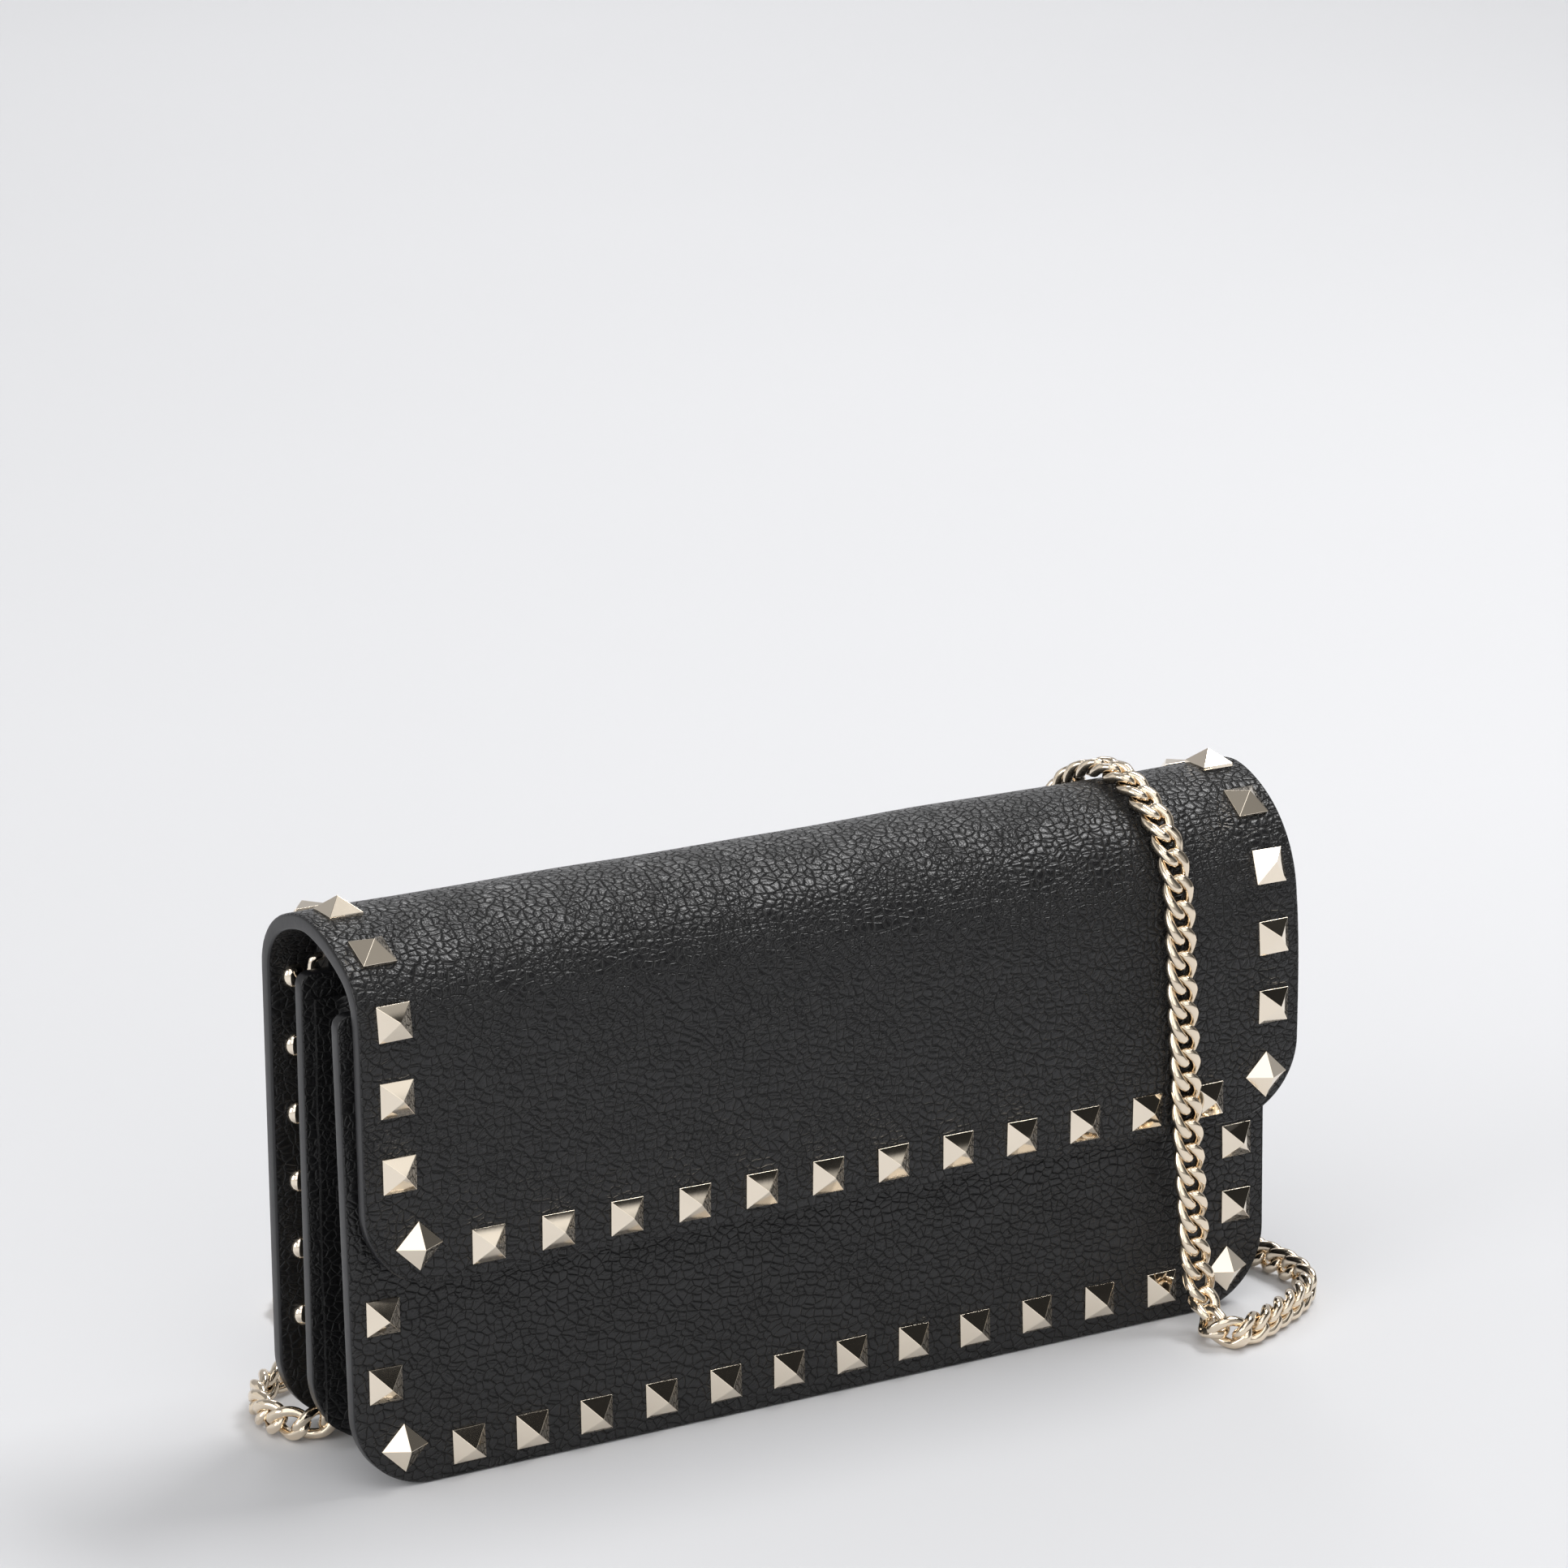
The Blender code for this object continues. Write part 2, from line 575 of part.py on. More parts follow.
for side, edge, mirror in (("left", MID_X[0], 1), ("right", MID_X[1], -1)):
    e = edge + mirror * 14.6
    path = [
        (e, y0r), (e + mirror * 5, y0r), (e + mirror * 8, (y0r * 3 + y1r) / 4), (e + mirror * 9.5, (y0r + y1r) / 2),
        (e + mirror * 8, (y0r + y1r * 3) / 4), (e + mirror * 5, y1r), (e, y1r),
    ]
    strip(f"rear_gusset_{side}", path, G, 4.2, 89.5, LEATHER)
for name, ya, yb in (("front_gusset_base", front_back + 0.2, MID_Y[0] - 0.3), ("rear_gusset_base", MID_Y[1] + 0.3, BACK_Y - PANEL_T - 0.3)):
    ym = (ya + yb) / 2
    bm = bmesh.new()
    shape = [(ya, 3.6), (ya, 0.9), (ya + 0.9, 0.9), (ym - 1, 2.0), (ym + 1, 2.0), (yb - 0.9, 0.9), (yb, 0.9), (yb, 3.6),
             (yb - 0.9, 3.6), (yb - 0.9, 1.9), (ym + 1, 3.0), (ym - 1, 3.0), (ya + 0.9, 1.9), (ya + 0.9, 3.6)]
    skin(bm, [[(x, y, z) for y, z in shape] for x in (-82.5, 86.5)])
    finish(name, bm, LEATHER)

# ---- card slots on the divider's front face --------------------------------
for col, cx in (("left", -41.0), ("right", 45.0)):
    for i in range(3):
        # each leaf stands further forward and lower than the one behind it
        y = MID_Y[0] - 0.35 - 0.75 * (i + 1)
        panel(f"card_slot_{col}_{i + 1}", (cx - 39.0, cx + 39.0), (y, y + 0.55), (12.0, 78.0 - 13.0 * i), LINING, low_r=2.0, top_r=2.0)

# ---- flap -------------------------------------------------------------------
flap_leather = flap_sheet("flap_leather", WRAP_X[0], WRAP_X[1], 0.0, LEATHER_T, 0.3, arch.length, LEATHER)
flap_lining = flap_sheet("flap_lining", WRAP_X[0], WRAP_X[1], LINING_IN, PANEL_T, 0.3, arch.length - 0.3, LINING)


def flap_tape(x0, x1, s0, s1):
    bm = bmesh.new()
    rings = []
    for s in flap_stations(s0, s1):
        (yo, zo), (yi, zi) = arch.place(s, TAPE_IN), arch.place(s, TAPE_OUT)
        rings.append(on_flap([(x0, yo, zo), (x1, yo, zo), (x1, yi, zi), (x0, yi, zi)]))
    skin(bm, rings)
    return bm


tip = arch.length
row_s = tip - 5.9
FLAP_MIDDLE = sum(WRAP_X) / 2 + 1.4
spots = [(curved_spot(x, row_s), False) for x in row(12, FLAP_PITCH, FLAP_MIDDLE)]
spots += [(curved_spot(WRAP_X[0] + 10.2, row_s - 2.3), True), (curved_spot(WRAP_X[1] - 7.6, row_s - 2.3), True)]
stud_group("flap_row_studs", spots, flap_tape(WRAP_X[0] + 7.5, WRAP_X[1] - 5.2, row_s - 5.0, row_s + 2.4), flap_leather, None, flap_hinge)
column_s = [tip - 22.3 - 14.2 * i for i in range(6)]
for side, x in (("left", WRAP_X[0] + 6.6), ("right", WRAP_X[1] - 6.4)):
    spots = [(curved_spot(x, s), False) for s in column_s]
    stud_group(f"flap_{side}_studs", spots, flap_tape(x - 2.4, x + 2.4, column_s[-1] - 3, column_s[0] + 3), flap_leather, None, flap_hinge)

snap_s = arch.length_at(SNAP_Z)
sp, sn = arch.point(snap_s), arch.normal(snap_s)
bm = bmesh.new()
rings = []
for d in (PANEL_T + 0.25, PANEL_T + 0.75):
    ring = []
    for i in range(20):
        a = 2 * math.pi * i / 20
        t = Vector((-sn.y, sn.x))
        q = sp - sn * d + t * (6.0 * math.sin(a))
        ring.append((SNAP_X + 6.0 * math.cos(a), q.x - (BACK_Y + 0.1), q.y - FOLD_Z))
    rings.append(ring)
skin(bm, rings)
finish("snap_cap", bm, GOLD, flap_hinge, smooth=True)

# ---- chain hardware ---------------------------------------------------------
BAR = (27.9, 95.2)                    # y, z of the D-ring's bar
ARC = (29.4, 87.1)                    # y, z of the wire the hook hangs on
HOOK_R, HOOK_WIRE = 3.2, 0.8
HOOK_C = ARC[1] + RING_WIRE + 0.3 - (HOOK_R - HOOK_WIRE)


def hardware(side, x):
    # leather tab, sewn to the divider and wrapped round the bar
    bm = bmesh.new()
    box(bm, x - 3.6, x + 3.6, MID_Y[1] + 0.3, MID_Y[1] + 1.5, 90.3, BAR[1])
    tab = finish(f"{side}_ring_tab", bm, LEATHER)
    bm = bmesh.new()
    sides = 14
    skin(bm, [[(xx, BAR[0] + 2.6 * math.cos(2 * math.pi * i / sides), BAR[1] + 2.6 * math.sin(2 * math.pi * i / sides)) for i in range(sides)] for xx in (x - 3.6, x + 3.6)])
    boolean(tab, finish(f"{side}_tab_loop", bm, LEATHER, helper=True), "UNION")
    bm = bmesh.new()
    skin(bm, [[(xx, BAR[0] + 1.3 * math.cos(2 * math.pi * i / sides), BAR[1] + 1.3 * math.sin(2 * math.pi * i / sides)) for i in range(sides)] for xx in (x - 5, x + 5)])
    boolean(tab, finish(f"{side}_tab_bore", bm, None, helper=True))

    # D-ring: bar through the tab, arc hanging behind it
    def tilt(px, down):
        f = down / (BAR[1] - ARC[1])
        return (px, BAR[0] + (ARC[0] - BAR[0]) * f, BAR[1] - down)

    half, drop = 5.6, BAR[1] - ARC[1]
    path = [tilt(x - half + 0.8, 0), tilt(x, 0), tilt(x + half - 0.8, 0), tilt(x + half - 0.15, 0.5), tilt(x + half, 1.4)]
    for i in range(0, 9):
        a = math.radians(-180 * i / 8)
        path.append(tilt(x + half * math.cos(a), drop - 5.2 - 5.2 * math.sin(a) if drop > 5.2 else 0))
    path += [tilt(x - half, 1.4), tilt(x - half + 0.15, 0.5)]
    bm = bmesh.new()
    tube(bm, path, RING_WIRE, 8, closed=True)
    finish(f"{side}_d_ring", bm, GOLD, smooth=True)

    # snap hook: an open loop round the D-ring's wire, on a stem
    swivel = bpy.data.objects.new(f"{side}_hook_swivel", None)
    bpy.context.scene.collection.objects.link(swivel)
    swivel.parent = root
    swivel.location = (x * MM, ARC[0] * MM, HOOK_C * MM)
    path = [(0, 0, -9.4), (0, 0, -6.0), (0, 0, -4.4)]
    for i in range(0, 13):
        a = math.radians(-100 - (360 - 100 - 28) * i / 12)
        path.append((0, HOOK_R * math.cos(a), HOOK_R * math.sin(a)))
    bm = bmesh.new()
    tube(bm, path, HOOK_WIRE, 8)
    finish(f"{side}_hook", bm, GOLD, swivel, smooth=True)
    # spring gate, pivoted beside the stem
    gate = bpy.data.objects.new(f"{side}_gate_hinge", None)
    bpy.context.scene.collection.objects.link(gate)
    gate.parent = swivel
    gate.location = (0, 2.0 * MM, -3.3 * MM)
    bm = bmesh.new()
    tube(bm, [(0, 0.0, 0.0), (0, 0.75, 2.0), (0, 1.05, 3.6)], 0.55, 8)
    finish(f"{side}_hook_gate", bm, GOLD, gate, smooth=True)
    # swivel eye: collar under the stem and the ring the chain ends in
    bm = bmesh.new()
    z = HOOK_C - 9.7
    skin(bm, [[(x + r * math.cos(2 * math.pi * i / 10), ARC[0] + r * math.sin(2 * math.pi * i / 10), zz) for i in range(10)] for r, zz in ((1.5, z), (1.7, z - 0.4), (1.7, z - 1.6), (1.2, z - 2.2))])
    eye = finish(f"{side}_hook_eye", bm, GOLD)
    bm = bmesh.new()
    tube(bm, [(x, ARC[0] + 2.5 * math.cos(2 * math.pi * i / 12), z - 4.2 + 2.5 * math.sin(2 * math.pi * i / 12)) for i in range(12)], 0.7, 8, closed=True)
    boolean(eye, finish(f"{side}_eye_ring", bm, GOLD, helper=True, smooth=True), "UNION")
    return z - 4.2


LEFT_X, RIGHT_X = -87.6, 91.6
end_z = hardware("left", LEFT_X)
hardware("right", RIGHT_X)

# ---- the chain --------------------------------------------------------------
# Route of the strap's centre line, from the left eye, down the outside of the
# rear gusset, out at the floor, round behind, up the back, over the flap, down
# the front, round the right end and up to the right eye.
CHAIN_Z = 3.5
top = end_z - 5.4
# where it lies on the flap: its X at each share of the flap's length
OVER = [
    (x, *arch.place(f * arch.length, -CHAIN_D / 2 - 0.8))
    for x, f in (
        (62.2, 0.01), (63.2, 0.06), (64.5, 0.11), (65.9, 0.165), (67.5, 0.215), (69.4, 0.27), (71.5, 0.335),
        (73.5, 0.4), (74.8, 0.46), (75.4, 0.53), (75.5, 0.61), (75.8, 0.71), (76.7, 0.83), (77.6, 0.965),
    )
]
ROUTE = [
    (LEFT_X, 30.0, top), (LEFT_X, 30.1, 52.0), (LEFT_X - 0.4, 30.1, 36.0), (LEFT_X - 0.6, 30.1, 20.0),
    (-88.6, 30.1, 10.5), (-91.4, 29.6, 4.8), (-96.0, 28.2, CHAIN_Z), (-100.6, 29.0, CHAIN_Z), (-103.4, 34.0, CHAIN_Z),
    (-103.2, 41.0, CHAIN_Z), (-99.6, 47.8, CHAIN_Z), (-92.0, 52.6, CHAIN_Z), (-76.0, 54.8, CHAIN_Z),
    (-40.0, 54.0, CHAIN_Z), (0.0, 53.0, CHAIN_Z), (40.0, 54.0, CHAIN_Z), (72.0, 55.0, CHAIN_Z),
    (84.0, 58.4, CHAIN_Z), (89.0, 66.6, CHAIN_Z), (83.0, 75.0, CHAIN_Z), (70.0, 77.6, CHAIN_Z), (40.0, 76.6, CHAIN_Z),
    (0.0, 75.8, CHAIN_Z), (-40.0, 76.0, CHAIN_Z), (-64.0, 78.4, CHAIN_Z), (-72.5, 86.6, CHAIN_Z), (-66.0, 96.4, CHAIN_Z), (-46.0, 99.8, CHAIN_Z), (-12.0, 98.6, CHAIN_Z),
    (24.0, 94.0, CHAIN_Z), (42.0, 84.0, 8.0), (50.0, 71.0, 11.8), (54.0, 58.0, 11.0), (56.4, 49.4, 15.0), (57.8, 46.6, 26.0), (59.0, 45.6, 45.0), (60.2, 45.0, 64.0), (61.4, 44.2, 81.0),
] + OVER + [
    (78.8, -6.9, 28.0), (79.9, -7.4, 14.0), (80.2, -9.4, 7.2), (78.6, -13.4, 4.0),
    (77.9, -17.4, CHAIN_Z), (81.0, -19.9, CHAIN_Z), (87.0, -18.6, CHAIN_Z), (94.0, -15.2, CHAIN_Z), (101.2, -11.0, CHAIN_Z), (107.0, -5.6, CHAIN_Z),
    (109.6, 1.6, CHAIN_Z), (109.4, 10.0, CHAIN_Z), (107.6, 19.0, CHAIN_Z), (103.0, 26.0, CHAIN_Z), (97.0, 29.4, 4.6),
    (92.8, 30.1, 10.5), (RIGHT_X + 0.4, 30.1, 20.0), (RIGHT_X + 0.2, 30.1, 36.0), (RIGHT_X, 30.1, 52.0), (RIGHT_X, 30.0, top),
]


def resample(points, step):
    out, carry = [points[0]], 0.0
    for a, b in zip(points, points[1:]):
        length = (b - a).length
        at = step - carry
        while at <= length:
            out.append(a.lerp(b, at / length))
            at += step
        carry = length - (at - step)
    if (out[-1] - points[-1]).length > step * 0.4:
        out.append(points[-1])
    else:
        out[-1] = points[-1]
    return out


fine = smooth_curve(ROUTE, 12)
total = sum((b - a).length for a, b in zip(fine, fine[1:]))
route = resample(fine, total / 79)
curve = bpy.data.curves.new("chain_strap", "CURVE")
curve.dimensions = "3D"
curve.bevel_depth = CHAIN_D / 2 * MM
curve.bevel_resolution = 2
curve.use_fill_caps = True
spline = curve.splines.new("POLY")
spline.points.add(len(route) - 1)
for point, p in zip(spline.points, route):
    point.co = (p.x * MM, p.y * MM, p.z * MM, 1)
curve.materials.append(GOLD)
chain = bpy.data.objects.new("chain_strap", curve)
bpy.context.scene.collection.objects.link(chain)
chain.parent = root
print(f"chain length {total:.1f} mm, {len(route)} points")
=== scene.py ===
import math
import random

import bmesh
import bpy
import numpy as np
from mathutils import Matrix, Vector, geometry, noise


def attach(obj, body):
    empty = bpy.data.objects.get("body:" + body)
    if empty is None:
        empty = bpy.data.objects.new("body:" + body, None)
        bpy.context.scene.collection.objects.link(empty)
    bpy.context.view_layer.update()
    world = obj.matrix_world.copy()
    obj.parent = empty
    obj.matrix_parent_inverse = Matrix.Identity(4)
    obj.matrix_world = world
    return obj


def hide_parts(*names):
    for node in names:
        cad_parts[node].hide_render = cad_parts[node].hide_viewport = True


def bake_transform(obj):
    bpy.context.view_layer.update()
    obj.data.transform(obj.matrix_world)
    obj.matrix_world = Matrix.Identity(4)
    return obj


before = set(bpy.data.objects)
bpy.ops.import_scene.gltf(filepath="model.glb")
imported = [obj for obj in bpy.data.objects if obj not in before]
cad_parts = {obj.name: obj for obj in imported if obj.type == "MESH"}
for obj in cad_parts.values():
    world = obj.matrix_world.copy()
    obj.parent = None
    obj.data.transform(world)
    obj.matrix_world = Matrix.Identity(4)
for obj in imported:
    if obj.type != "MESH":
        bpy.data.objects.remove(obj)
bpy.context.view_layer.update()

MM = 0.001
SHIFT = Vector((-2.3, -17.7, 0.0))      # wallet measures in mm to the row frame
BACK_Y, FOLD_Z, FRONT_LEAN = 38.4, 92.0, 2.0
FRONT_X, FRONT_H = (-100.2, 100.2), 92.0
WRAP_X, MID_X, MID_Y, MID_H = (-98.7, 104.8), (-98.4, 101.4), (21.9, 24.9), 94.2
T = 3.0                                 # thickness of a lined panel


def W(x, y, z):
    return ((x + SHIFT.x) * MM, (y + SHIFT.y) * MM, z * MM)


# ---- camera -----------------------------------------------------------------
camera = bpy.data.cameras.new("camera")
camera.sensor_width = 36.0
camera.sensor_fit = "HORIZONTAL"
camera.lens = 130.43
camera.shift_y = 0.2227
camera.clip_start, camera.clip_end = 0.05, 50.0
camera = bpy.data.objects.new("camera", camera)
bpy.context.scene.collection.objects.link(camera)
camera.location = (-0.5126, -0.8852, 0.4171)
camera.rotation_euler = (math.radians(70.113), 0.0, math.radians(-29.968))
bpy.context.scene.camera = camera


# ---- materials --------------------------------------------------------------
def new_material(name):
    made = bpy.data.materials.new(name)
    made.use_nodes = True
    tree = made.node_tree
    return made, tree, tree.nodes["Principled BSDF"]


def node(tree, kind, **values):
    made = tree.nodes.new(kind)
    for key, value in values.items():
        if key in made.inputs.keys():
            made.inputs[key].default_value = value
        else:
            setattr(made, key, value)
    return made


def maths(tree, op, a, b=None, clamp=False):
    made = tree.nodes.new("ShaderNodeMath")
    made.operation = op
    made.use_clamp = clamp
    for socket, value in zip(made.inputs, (a, b)):
        if value is None:
            continue
        if isinstance(value, (int, float)):
            socket.default_value = value
        else:
            tree.links.new(value, socket)
    return made.outputs[0]


def ramp(tree, value, stops):
    made = tree.nodes.new("ShaderNodeValToRGB")
    elements = made.color_ramp.elements
    while len(elements) < len(stops):
        elements.new(0.5)
    for element, (at, colour) in zip(elements, stops):
        element.position = at
        element.color = (*colour, 1.0) if len(colour) == 3 else colour
    tree.links.new(value, made.inputs[0])
    return made.outputs[0]


def leather(name, cell, depth, dark, light, rough, fine=0.14, stretch=1.15, crease=0.30):
    """Pebbled calf leather: cells with soft creases between them, pores and a
    slow variation of grain, all on a flat layout of the panel in metres."""
    mat, tree, shader = new_material(name)
    uv = node(tree, "ShaderNodeUVMap", uv_map="grain")
    mapping = node(tree, "ShaderNodeMapping")
    mapping.inputs["Scale"].default_value = (1.0, stretch, 1.0)
    tree.links.new(uv.outputs[0], mapping.inputs["Vector"])
    # bend the layout a little, so that no cell has a straight side
    wobble = node(tree, "ShaderNodeTexNoise", Scale=1.0 / (cell * 2.2), Detail=1.5, Roughness=0.5)
    tree.links.new(mapping.outputs[0], wobble.inputs["Vector"])
    centred = node(tree, "ShaderNodeVectorMath", operation="SUBTRACT")
    centred.inputs[1].default_value = (0.5, 0.5, 0.5)
    tree.links.new(wobble.outputs["Color"], centred.inputs[0])
    scaled = node(tree, "ShaderNodeVectorMath", operation="SCALE")
    scaled.inputs["Scale"].default_value = cell * 0.9
    tree.links.new(centred.outputs[0], scaled.inputs[0])
    bent = node(tree, "ShaderNodeVectorMath", operation="ADD")
    tree.links.new(mapping.outputs[0], bent.inputs[0])
    tree.links.new(scaled.outputs[0], bent.inputs[1])

    def cells(size, stops, squeeze=(1.0, 1.0, 1.0), jumble=0.95):
        source = bent.outputs[0]
        if squeeze != (1.0, 1.0, 1.0):
            squeezed = node(tree, "ShaderNodeMapping")
            squeezed.inputs["Scale"].default_value = squeeze
            tree.links.new(source, squeezed.inputs["Vector"])
            source = squeezed.outputs[0]
        edge = node(tree, "ShaderNodeTexVoronoi", feature="DISTANCE_TO_EDGE", voronoi_dimensions="2D", Scale=1.0 / size, Randomness=jumble)
        tree.links.new(source, edge.inputs["Vector"])
        return ramp(tree, edge.outputs["Distance"], [(at, (v, v, v)) for at, v in stops])

    # domed pebbles, and finer ones that show in patches
    big = cells(cell, [(0.0, 0.0), (0.022, 0.18), (0.06, 0.58), (0.14, 0.84), (0.36, 1.0)])
    small = cells(cell * 0.46, [(0.0, 0.0), (0.12, 0.55), (0.34, 1.0)])
    patch = node(tree, "ShaderNodeTexNoise", Scale=75.0, Detail=2.0)
    tree.links.new(mapping.outputs[0], patch.inputs["Vector"])
    share = ramp(tree, patch.outputs["Fac"], [(0.40, (0, 0, 0)), (0.64, (1, 1, 1))])
    small_share = maths(tree, "MULTIPLY", maths(tree, "SUBTRACT", 1.0, small), maths(tree, "ADD", maths(tree, "MULTIPLY", share, 0.24), 0.05))
    grain = maths(tree, "SUBTRACT", big, small_share)
    # long creases of the hide run along the panel
    long_cells = cells(cell * 2.3, [(0.0, 0.0), (0.05, 0.6), (0.12, 1.0)], (0.62, 1.35, 1.0), 1.0)
    grain = maths(tree, "SUBTRACT", grain, maths(tree, "MULTIPLY", maths(tree, "SUBTRACT", 1.0, long_cells), crease))
    pores = node(tree, "ShaderNodeTexNoise", Scale=1900.0, Detail=2.0, Roughness=0.6)
    tree.links.new(mapping.outputs[0], pores.inputs["Vector"])
    swell = node(tree, "ShaderNodeTexNoise", Scale=1.0 / (cell * 1.5), Detail=1.0)
    tree.links.new(mapping.outputs[0], swell.inputs["Vector"])
    height = maths(tree, "ADD", grain, maths(tree, "MULTIPLY", pores.outputs["Fac"], fine))
    height = maths(tree, "ADD", height, maths(tree, "MULTIPLY", swell.outputs["Fac"], 0.22))
    bump = node(tree, "ShaderNodeBump", Strength=1.0, Distance=depth)
    tree.links.new(height, bump.inputs["Height"])
    tree.links.new(bump.outputs[0], shader.inputs["Normal"])
    # base colour follows the grain: darker down in the creases, lighter on the pebble tops; the dark in the creases is
    # painted shade
    colour = ramp(tree, grain, [(0.10, dark), (0.55, tuple((a + 2 * b) / 3 for a, b in zip(dark, light))), (0.95, light)])
    tree.links.new(colour, shader.inputs["Base Color"])
    # dull down in the creases, polished on top of the pebbles
    dull = ramp(tree, grain, [(0.0, (0.95, 0.95, 0.95)), (0.25, (0.80, 0.80, 0.80)), (0.58, (rough + 0.06,) * 3), (1.0, (rough,) * 3)])
    worn = maths(tree, "ADD", dull, maths(tree, "MULTIPLY", patch.outputs["Fac"], 0.05))
    tree.links.new(worn, shader.inputs["Roughness"])
    shader.inputs["Specular IOR Level"].default_value = 0.46
    shader.inputs["Sheen Weight"].default_value = 0.03
    return mat


def metal(name, colour, rough, scratch=0.03):
    mat, tree, shader = new_material(name)
    coordinates = node(tree, "ShaderNodeTexCoord")
    haze = node(tree, "ShaderNodeTexNoise", Scale=900.0, Detail=3.0)
    tree.links.new(coordinates.outputs["Object"], haze.inputs["Vector"])
    mottle = node(tree, "ShaderNodeTexNoise", Scale=60.0, Detail=2.0)
    tree.links.new(coordinates.outputs["Object"], mottle.inputs["Vector"])
    base = ramp(tree, mottle.outputs["Fac"], [(0.3, tuple(c * 0.95 for c in colour)), (0.7, tuple(min(1.0, c * 1.03) for c in colour))])
    tree.links.new(base, shader.inputs["Base Color"])
    level = maths(tree, "ADD", maths(tree, "MULTIPLY", haze.outputs["Fac"], scratch * 2), rough - scratch)
    tree.links.new(level, shader.inputs["Roughness"])
    bump = node(tree, "ShaderNodeBump", Strength=0.06, Distance=0.00002)
    tree.links.new(haze.outputs["Fac"], bump.inputs["Height"])
    tree.links.new(bump.outputs[0], shader.inputs["Normal"])
    shader.inputs["Metallic"].default_value = 1.0
    return mat


def woven(name, dark, light, pitch=0.0006):
    mat, tree, shader = new_material(name)
    coordinates = node(tree, "ShaderNodeTexCoord")
    waves = []
    for axis in ("X", "Z"):
        wave = node(tree, "ShaderNodeTexWave", wave_type="BANDS", bands_direction=axis, Scale=0.5 / pitch / 3.14159 * 1.0, Distortion=0.4)
        tree.links.new(coordinates.outputs["Object"], wave.inputs["Vector"])
        waves.append(wave.outputs["Fac"])
    weave = maths(tree, "MULTIPLY", waves[0], waves[1])
    tree.links.new(ramp(tree, weave, [(0.0, dark), (1.0, light)]), shader.inputs["Base Color"])
    bump = node(tree, "ShaderNodeBump", Strength=0.8, Distance=0.00015)
    tree.links.new(weave, bump.inputs["Height"])
    tree.links.new(bump.outputs[0], shader.inputs["Normal"])
    shader.inputs["Roughness"].default_value = 0.85
    return mat


def edge_paint(name):
    """Sealed leather edge: smooth black paint, a little uneven along the cut."""
    mat, tree, shader = new_material(name)
    coordinates = node(tree, "ShaderNodeTexCoord")
    uneven = node(tree, "ShaderNodeTexNoise", Scale=420.0, Detail=3.0, Roughness=0.6)
    tree.links.new(coordinates.outputs["Object"], uneven.inputs["Vector"])
    tree.links.new(ramp(tree, uneven.outputs["Fac"], [(0.3, (0.005, 0.005, 0.006)), (0.75, (0.011, 0.011, 0.013))]), shader.inputs["Base Color"])
    level = maths(tree, "ADD", maths(tree, "MULTIPLY", uneven.outputs["Fac"], 0.2), 0.24)
    tree.links.new(level, shader.inputs["Roughness"])
    bump = node(tree, "ShaderNodeBump", Strength=0.5, Distance=0.0001)
    tree.links.new(uneven.outputs["Fac"], bump.inputs["Height"])
    tree.links.new(bump.outputs[0], shader.inputs["Normal"])
    return mat


# each leather's first colour is the painted shade in its creases, the second the tone of its pebble tops
GRAIN = leather("pebbled_calf", 0.00185, 0.00034, (0.0005, 0.0005, 0.0007), (0.0070, 0.0070, 0.0077), 0.23, fine=0.10)
GRAIN_FRONT = leather("pebbled_calf_front", 0.00190, 0.00031, (0.0005, 0.0005, 0.0007), (0.0095, 0.0095, 0.0102), 0.28, fine=0.10)
# a darker copy of the pebbled calf for the faces inside the wallet: painted shade for the shade that falls inside
INNER_SHADED = leather("pebbled_inner_shaded", 0.0019, 0.00030, (0.0008, 0.0008, 0.0010), (0.0042, 0.0042, 0.0048), 0.36)
SMOOTH = leather("smooth_lining", 0.0012, 0.00005, (0.0050, 0.0050, 0.0055), (0.0100, 0.0100, 0.0110), 0.44, crease=0.2)
EDGE = edge_paint("edge_paint")
GOLD = metal("pale_gold", (0.93, 0.83, 0.69), 0.055, 0.015)
CHAIN_GOLD = metal("chain_gold", (0.87, 0.75, 0.595), 0.095, 0.03)
ZIP_GOLD = metal("zip_gold", (0.80, 0.69, 0.50), 0.22)
CLOTH = woven("pocket_cloth", (0.004, 0.004, 0.0045), (0.020, 0.020, 0.022))


# ---- small helpers ----------------------------------------------------------
def add_object(name, mesh):
    obj = bpy.data.objects.new(name, mesh)
    bpy.context.scene.collection.objects.link(obj)
    return obj


def mesh_object(name, verts, faces, mats, face_mats=None, uvs=None, smooth=True, sharp=None):
    mesh = bpy.data.meshes.new(name)
    mesh.from_pydata([tuple(v) for v in verts], [], faces)
    for mat in mats:
        mesh.materials.append(mat)
    if face_mats is not None:
        mesh.polygons.foreach_set("material_index", np.asarray(face_mats, dtype=np.int32))
    if uvs is not None:
        layer = mesh.uv_layers.new(name="grain")
        loops = np.empty(len(mesh.loops), dtype=np.int32)
        mesh.loops.foreach_get("vertex_index", loops)
        layer.data.foreach_set("uv", np.asarray(uvs, dtype=np.float32)[loops].ravel())
    if smooth:
        mesh.shade_smooth()
        if sharp:
            mesh.set_sharp_from_angle(angle=math.radians(sharp))
    mesh.validate()
    mesh.update()
    return add_object(name, mesh)


def bm_object(name, bm, mat, sharp=35, bevel=0.0):
    bmesh.ops.recalc_face_normals(bm, faces=bm.faces)
    mesh = bpy.data.meshes.new(name)
    bm.to_mesh(mesh)
    bm.free()
    mesh.materials.append(mat)
    mesh.shade_smooth()
    if sharp:
        mesh.set_sharp_from_angle(angle=math.radians(sharp))
    obj = add_object(name, mesh)
    if bevel:
        cut = obj.modifiers.new("edges", "BEVEL")
        cut.harden_normals = True
        cut.width = bevel
        cut.segments = 2
        cut.limit_method = "ANGLE"
        cut.angle_limit = math.radians(25)
    return obj


